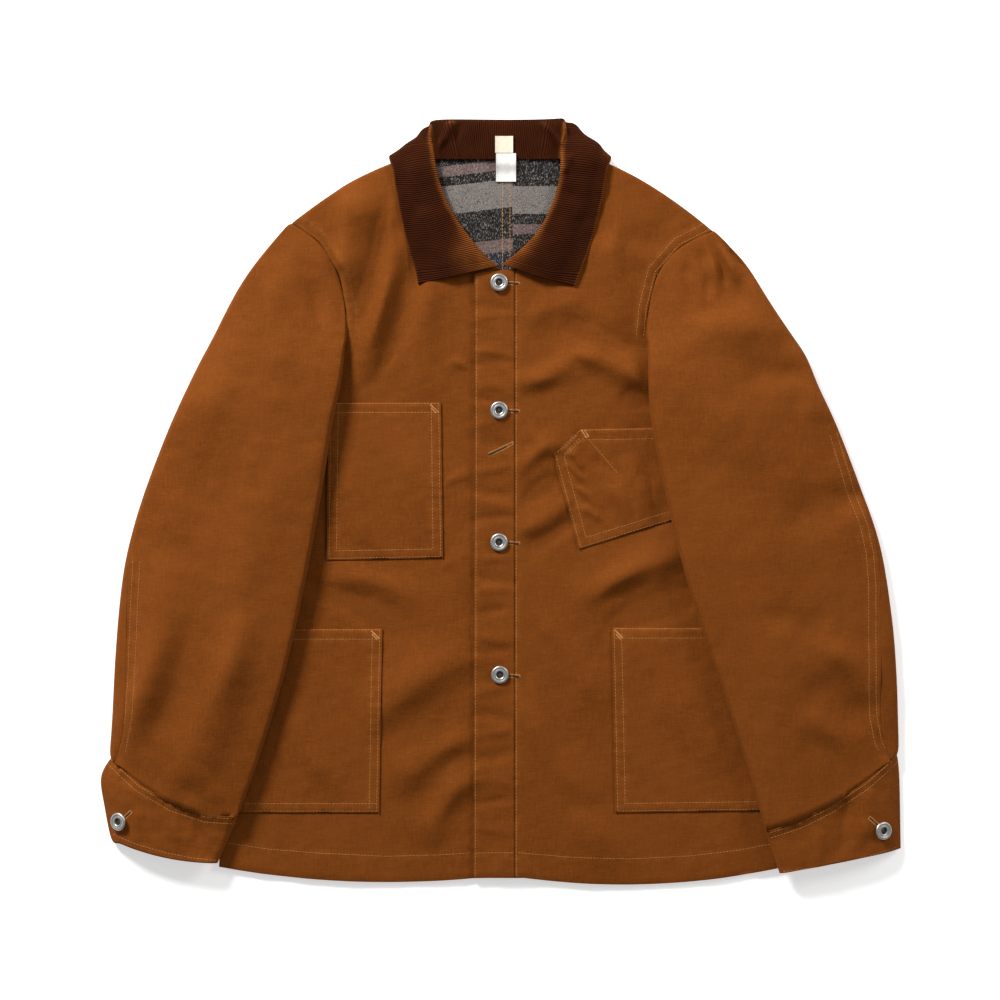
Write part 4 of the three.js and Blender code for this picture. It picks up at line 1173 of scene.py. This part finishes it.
class JACKET_OT_collar(JacketOperator):
    """Make the corduroy collar, one band folded over its roll"""

    bl_idname = "jacket.make_collar"
    bl_label = "Collar"

    def execute(self, context):
        sections = []
        for row in COLLAR_ROWS:
            seam, roll, mid, edge = (Vector(point) for point in row)
            before = seam.lerp(roll, 0.75)
            before.z = seam.z + (roll.z - seam.z) * 0.15
            after = roll.lerp(mid, 0.18)
            after.z = roll.z + (mid.z - roll.z) * 0.8
            down = mid.lerp(edge, 0.5)
            down.z = mid.z + (edge.z - mid.z) * 0.8
            sections.append([seam, before, roll, after, mid, down, edge])
        rows, columns = len(sections), len(sections[0])
        along = [0.0]
        for first, second in zip(sections, sections[1:]):
            step = sum((b - a).length for a, b in zip(first[2:], second[2:])) / (columns - 2)
            along.append(along[-1] + max(step, (second[2] - first[2]).length))
        bm = bmesh.new()
        layer = bm.verts.layers.float.new("along")
        bmesh.ops.create_grid(bm, x_segments=rows - 1, y_segments=columns - 1, size=0.5)
        for vertex in bm.verts:
            i = round((vertex.co.x + 0.5) * (rows - 1))
            j = round((vertex.co.y + 0.5) * (columns - 1))
            vertex.co = sections[i][j] * MM
            vertex[layer] = along[i] * MM
        keep = bm.verts.layers.float.new("crease_vert")
        for vertex in bm.verts:
            vertex[keep] = float(len(vertex.link_edges) == 2)
        mesh = smooth_mesh(bm, "cloth_collar", 4)
        points = read(mesh)
        x, y = points[:, 0], points[:, 1]
        ridge, trough = fold_height(COLLAR_FOLDS, x, y)
        upper = ramp(points[:, 2], 4.5, 7)
        points[:, 2] += (ridge + trough + rumple(x, y, 3, 14, 70, 0.32)) * upper
        write(mesh, points)
        roll, _, _, _, _ = nearest_on([row.roll[:2] for row in COLLAR_ROWS], x, y)
        edge = np.minimum(
            nearest_on([row.edge[:2] for row in COLLAR_ROWS[:8]], x, y)[0],
            nearest_on([row.edge[:2] for row in COLLAR_ROWS[19:]], x, y)[0],
        )
        # the pile is worn light and carries a painted highlight on the roll, widest at the front, and on the outer edge
        spread = 2.6 + np.where(x < 0, 15.0, 5.0) * ramp(-y, -262, -226)
        rubbed_and_highlit = 0.75 * np.exp(-((roll / spread) ** 2)) * ramp(points[:, 2], 7, 9)
        rubbed_and_highlit = np.maximum(rubbed_and_highlit, 0.4 * np.exp(-((edge / 0.9) ** 2)) * ramp(points[:, 2], 5, 7))
        layer = mesh.attributes.new("rubbed_and_highlit", "FLOAT", "POINT")
        layer.data.foreach_set("value", rubbed_and_highlit.astype(np.float32))
        holder = bpy.data.objects.new("collar_sheet", mesh)
        bpy.context.scene.collection.objects.link(holder)
        thicken = holder.modifiers.new("Thickness", "SOLIDIFY")
        thicken.thickness = 0.0022
        thicken.offset = 0
        depsgraph = bpy.context.evaluated_depsgraph_get()
        solid = bpy.data.meshes.new_from_object(
            holder.evaluated_get(depsgraph), preserve_all_data_layers=True, depsgraph=depsgraph
        )
        bpy.data.objects.remove(holder)
        solid.name = "cloth_collar"
        piece = add_piece("cloth_collar", solid, corduroy(), ["collar"], sharp=50)
        return {"FINISHED"}


class JACKET_OT_labels(JacketOperator):
    """Make the two bare labels at the centre back"""

    bl_idname = "jacket.make_labels"
    bl_label = "Labels"

    def execute(self, context):
        def shape(x, y):
            curl = 0.8 * ramp(np.abs(x - 2.4), 5, 9) + 0.4 * ramp(-y, -312, -300)
            return curl, np.zeros_like(x)

        for node, tint, cut in (
            ("neck_label", (1.0, 0.93, 0.78), (0.017, 0.0159)),
            ("size_label", (1.0, 1.0, 1.02), (0.019, 0.0266)),
        ):
            piece = laid_cloth(node, 4, 1.0, tape("tape_" + node, tint), shape, 0)
        return {"FINISHED"}


BUTTON_PROFILE = [
    (0, 1.7), (0.6, 1.9), (1.2, 1.75), (2.0, 1.35), (2.9, 1.3), (3.2, 2.1), (3.5, 3.1),
    (4.1, 3.45), (5.0, 3.35), (5.4, 3.2), (5.9, 3.35), (6.8, 3.75), (7.6, 3.6), (8.2, 3.1),
    (8.5, 2.5), (8.2, 1.8), (7.2, 1.2), (2.4, 0.9), (2.4, 0), (0, 0),
]


class JACKET_OT_buttons(JacketOperator):
    """Make the metal donut buttons"""

    bl_idname = "jacket.make_buttons"
    bl_label = "Buttons"

    def execute(self, context):
        size = sizes().button_diameter / 0.017
        body = surface_of(["cloth_placket"])
        for name in FRONT_BUTTONS + CUFF_BUTTONS:
            low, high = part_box(name)
            centre = (low + high) / 2
            lean = {"button_cuff_right": -0.5, "button_cuff_left": 0.4}.get(name, 0.0)
            base = low.z
            if name in FRONT_BUTTONS:
                place, _ = drop(body, centre.x / MM, centre.y / MM)
                base = place.z + 0.0002
            bm = bmesh.new()
            verts = [bm.verts.new((x * size * MM, 0, z * MM)) for x, z in BUTTON_PROFILE]
            edges = [bm.edges.new(pair) for pair in zip(verts, verts[1:])]
            bmesh.ops.spin(
                bm, geom=verts + edges, cent=(0, 0, 0), axis=(0, 0, 1), dvec=(0, 0, 0),
                angle=math.tau, steps=56, use_merge=True, use_duplicate=False,
            )
            bmesh.ops.remove_doubles(bm, verts=bm.verts, dist=1e-6)
            bmesh.ops.recalc_face_normals(bm, faces=bm.faces)
            if lean:
                pose = Matrix.Translation((centre.x, centre.y, centre.z)) @ Matrix.Rotation(lean, 4, "Y") @ Matrix.Translation((0, 0, -0.00195))
            else:
                pose = Matrix.Translation((centre.x, centre.y, base))
            bmesh.ops.transform(bm, matrix=pose, verts=bm.verts)
            mesh = bpy.data.meshes.new(name + "_metal")
            bm.to_mesh(mesh)
            bm.free()
            piece = add_piece(name + "_metal", mesh, button_metal(), [name], sharp=35)
            piece.data.materials.append(dark_metal())
            inner = 3.3 * size * MM
            for polygon in piece.data.polygons:
                spot = pose.inverted() @ polygon.center
                if math.hypot(spot.x, spot.y) < inner and spot.z > 0.001:
                    polygon.material_index = 1
        return {"FINISHED"}


class JACKET_OT_buttonholes(JacketOperator):
    """Make the worked buttonholes and bartacks"""

    bl_idname = "jacket.make_buttonholes"
    bl_label = "Buttonholes"

    def execute(self, context):
        body = surface_of(["cloth_placket", "cloth_front_left", "cloth_front_right", "cloth_cuff_right", "cloth_cuff_left"])
        placed = []
        slits = []
        wide = BUTTONHOLES[4]
        for x0, y0, x1, y1 in BUTTONHOLES:
            length = math.hypot(x1 - x0, y1 - y0)
            run_x, run_y = (x1 - x0) / length, (y1 - y0) / length
            for x, y, _, _ in evenly([(x0, y0), (x1, y1)], 0.75):
                for side in (-1, 1):
                    placed.append((x - run_y * side * 1.25, y + run_x * side * 1.25, -run_y, run_x, 1.9, 0.62))
            for side in (-1.4, -0.7, 0, 0.7, 1.4):
                placed.append((x1 - run_y * side, y1 + run_x * side, run_x, run_y, 1.8, 0.6))
            slit_width = 1.6 if (x0, y0, x1, y1) == wide else 0.8
            slits.append((x0, y0, x1 - run_x * 0.6, y1 - run_y * 0.6, slit_width))
        surface = body
        lay_stitches("buttonhole_threads", placed, thread(), surface)
        # thin dark boxes over the buttonhole cuts, carrying painted shade
        bm = bmesh.new()
        for x0, y0, x1, y1, slit_width in slits:
            middle, up = drop(surface, (x0 + x1) / 2, (y0 + y1) / 2)
            if middle is None:
                continue
            run = Vector((x1 - x0, y1 - y0, 0))
            length = run.length
            run.normalize()
            run = (run - up * run.dot(up)).normalized()
            across = up.cross(run)
            turn = Matrix((run, across, up)).transposed().to_4x4()
            pose = Matrix.Translation(middle + up * 0.0001) @ turn @ Matrix.Diagonal((length * MM, slit_width * MM, 0.0008, 1))
            made = bmesh.ops.create_cube(bm, size=1.0, matrix=pose)
            bmesh.ops.bevel(
                bm, geom=list({e for v in made["verts"] for e in v.link_edges}), offset=0.00008,
                offset_type="OFFSET", segments=1, profile=0.5, affect="EDGES", material=-1,
            )
        mesh = bpy.data.meshes.new("buttonhole_slits")
        bm.to_mesh(mesh)
        bm.free()
        add_piece("buttonhole_slits", mesh, painted_slit_shade(), [])
        return {"FINISHED"}


class JACKET_OT_stitching(JacketOperator):
    """Lay the stitch rows and bartacks on the cloth"""

    bl_idname = "jacket.make_stitching"
    bl_label = "Stitching"

    def execute(self, context):
        body = ["cloth_front_right", "cloth_front_left", "cloth_placket"]
        pockets = ["cloth_chest_pocket_right", "cloth_chest_pocket_left", "cloth_hip_pocket_right", "cloth_hip_pocket_left"]
        # a copy of the thread at half brightness: painted shade on the right armhole's stitch rows
        low = thread("shaded_thread_copy", 0.5)
        lay_stitches("stitches_armhole", stitched(BODY_SEAMS[:1]), low, surface_of(body))
        lay_stitches("stitches_body", stitched(BODY_SEAMS[1:]), thread(), surface_of(body))
        on_pockets = surface_of(body + pockets)
        lay_stitches("stitches_pockets", stitched(POCKET_SEAMS), thread(), on_pockets)
        tacks = []
        for x0, y0, x1, y1 in BARTACKS:
            length = math.hypot(x1 - x0, y1 - y0)
            run_x, run_y = (x1 - x0) / length, (y1 - y0) / length
            for x, y, _, _ in evenly([(x0, y0), (x1, y1)], 0.55):
                tacks.append((x, y, -run_y, run_x, 1.7, 0.55))
        lay_stitches("bartacks", tacks, thread("bartack_thread", 1.25), on_pockets)
        for side in ("right", "left"):
            seam = SLEEVE_SEAMS[0 if side == "right" else 1]
            surface = surface_of([f"cloth_sleeve_{side}_top"])
            lay_stitches(f"stitches_sleeve_{side}", stitched([seam]), thread(), surface)
        cuffs = surface_of(["cloth_cuff_right", "cloth_cuff_left"])
        lay_stitches("stitches_cuffs", stitched(CUFF_SEAMS), thread(), cuffs)
        lining = surface_of(["cloth_lining_right", "cloth_lining_left"])
        pale = thread("lining_thread", 1.6)
        lay_stitches("stitches_lining", stitched(LINING_SEAMS), pale, lining)
        return {"FINISHED"}


class JACKET_OT_stage(JacketOperator):
    """Set the floor, the lights and the camera"""

    bl_idname = "jacket.make_stage"
    bl_label = "Stage"

    def execute(self, context):
        scene = context.scene
        bm = bmesh.new()
        bmesh.ops.create_grid(bm, x_segments=8, y_segments=8, size=14.0)
        mesh = bpy.data.meshes.new("floor")
        bm.to_mesh(mesh)
        bm.free()
        mesh.materials.append(floor_paint())
        floor = bpy.data.objects.new("floor", mesh)
        scene.collection.objects.link(floor)

        def area(name, place, aim, size, power, tint=(1, 1, 1)):
            lamp = bpy.data.lights.new(name, "AREA")
            lamp.shape = "DISK"
            lamp.size = size
            lamp.energy = power
            lamp.color = tint
            holder = bpy.data.objects.new(name, lamp)
            holder.location = place
            holder.rotation_mode = "QUATERNION"
            holder.rotation_quaternion = (Vector(aim) - Vector(place)).to_track_quat("-Z", "Y")
            scene.collection.objects.link(holder)

        area("key_light", (-1.65, 2.35, 1.6), (0, 0, 0), 0.9, 156, (1.0, 0.985, 0.965))
        area("side_fill", (2.0, 1.4, 1.3), (0.35, 0.1, 0), 1.2, 31, (1.0, 0.985, 0.965))

        world = bpy.data.worlds.new("soft_room")
        world.use_nodes = True
        backdrop = world.node_tree.nodes["Background"]
        backdrop.inputs["Color"].default_value = (1, 1, 1, 1)
        backdrop.inputs["Strength"].default_value = 0.27
        scene.world = world
        scene.view_settings.view_transform = "Standard"
        scene.view_settings.look = "None"
        scene.view_settings.exposure = 0.0
        scene.view_settings.gamma = 1.0

        lens = bpy.data.cameras.new("camera")
        lens.type = "PERSP"
        lens.sensor_width = 36
        height = sizes().camera_height
        lens.lens = 36 * (height - 0.012) / 0.95
        lens.clip_end = 50
        camera = bpy.data.objects.new("camera", lens)
        camera.location = (-0.0019, -0.0014, height)
        scene.collection.objects.link(camera)
        scene.camera = camera
        return {"FINISHED"}


class JACKET_PT_panel(bpy.types.Panel):
    """Everything that dresses the jacket"""

    bl_idname = "JACKET_PT_panel"
    bl_label = "Chore jacket"
    bl_space_type = "VIEW_3D"
    bl_region_type = "UI"
    bl_category = "Jacket"

    def draw(self, context):
        layout = self.layout
        for group in (context.scene.jacket_sizes, context.scene.jacket_colours):
            box = layout.box()
            for name in group.__annotations__:
                box.prop(group, name)
        for operator in OPERATORS:
            layout.operator(operator.bl_idname)


OPERATORS = [
    JACKET_OT_body, JACKET_OT_pockets, JACKET_OT_lining, JACKET_OT_sleeves, JACKET_OT_cuffs,
    JACKET_OT_collar, JACKET_OT_labels, JACKET_OT_buttons, JACKET_OT_buttonholes,
    JACKET_OT_stitching, JACKET_OT_stage,
]
CLASSES = [JacketSizes, JacketColours, *OPERATORS, JACKET_PT_panel]


def register():
    for cls in CLASSES:
        bpy.utils.register_class(cls)
    bpy.types.Scene.jacket_sizes = PointerProperty(type=JacketSizes)
    bpy.types.Scene.jacket_colours = PointerProperty(type=JacketColours)


def unregister():
    del bpy.types.Scene.jacket_colours
    del bpy.types.Scene.jacket_sizes
    for cls in reversed(CLASSES):
        bpy.utils.unregister_class(cls)


def main():
    register()
    bpy.ops.jacket.make_body()
    bpy.ops.jacket.make_pockets()
    bpy.ops.jacket.make_lining()
    bpy.ops.jacket.make_sleeves()
    bpy.ops.jacket.make_cuffs()
    bpy.ops.jacket.make_collar()
    bpy.ops.jacket.make_labels()
    bpy.ops.jacket.make_buttons()
    bpy.ops.jacket.make_buttonholes()
    bpy.ops.jacket.make_stitching()
    bpy.ops.jacket.make_stage()


if __name__ == "__main__":
    main()
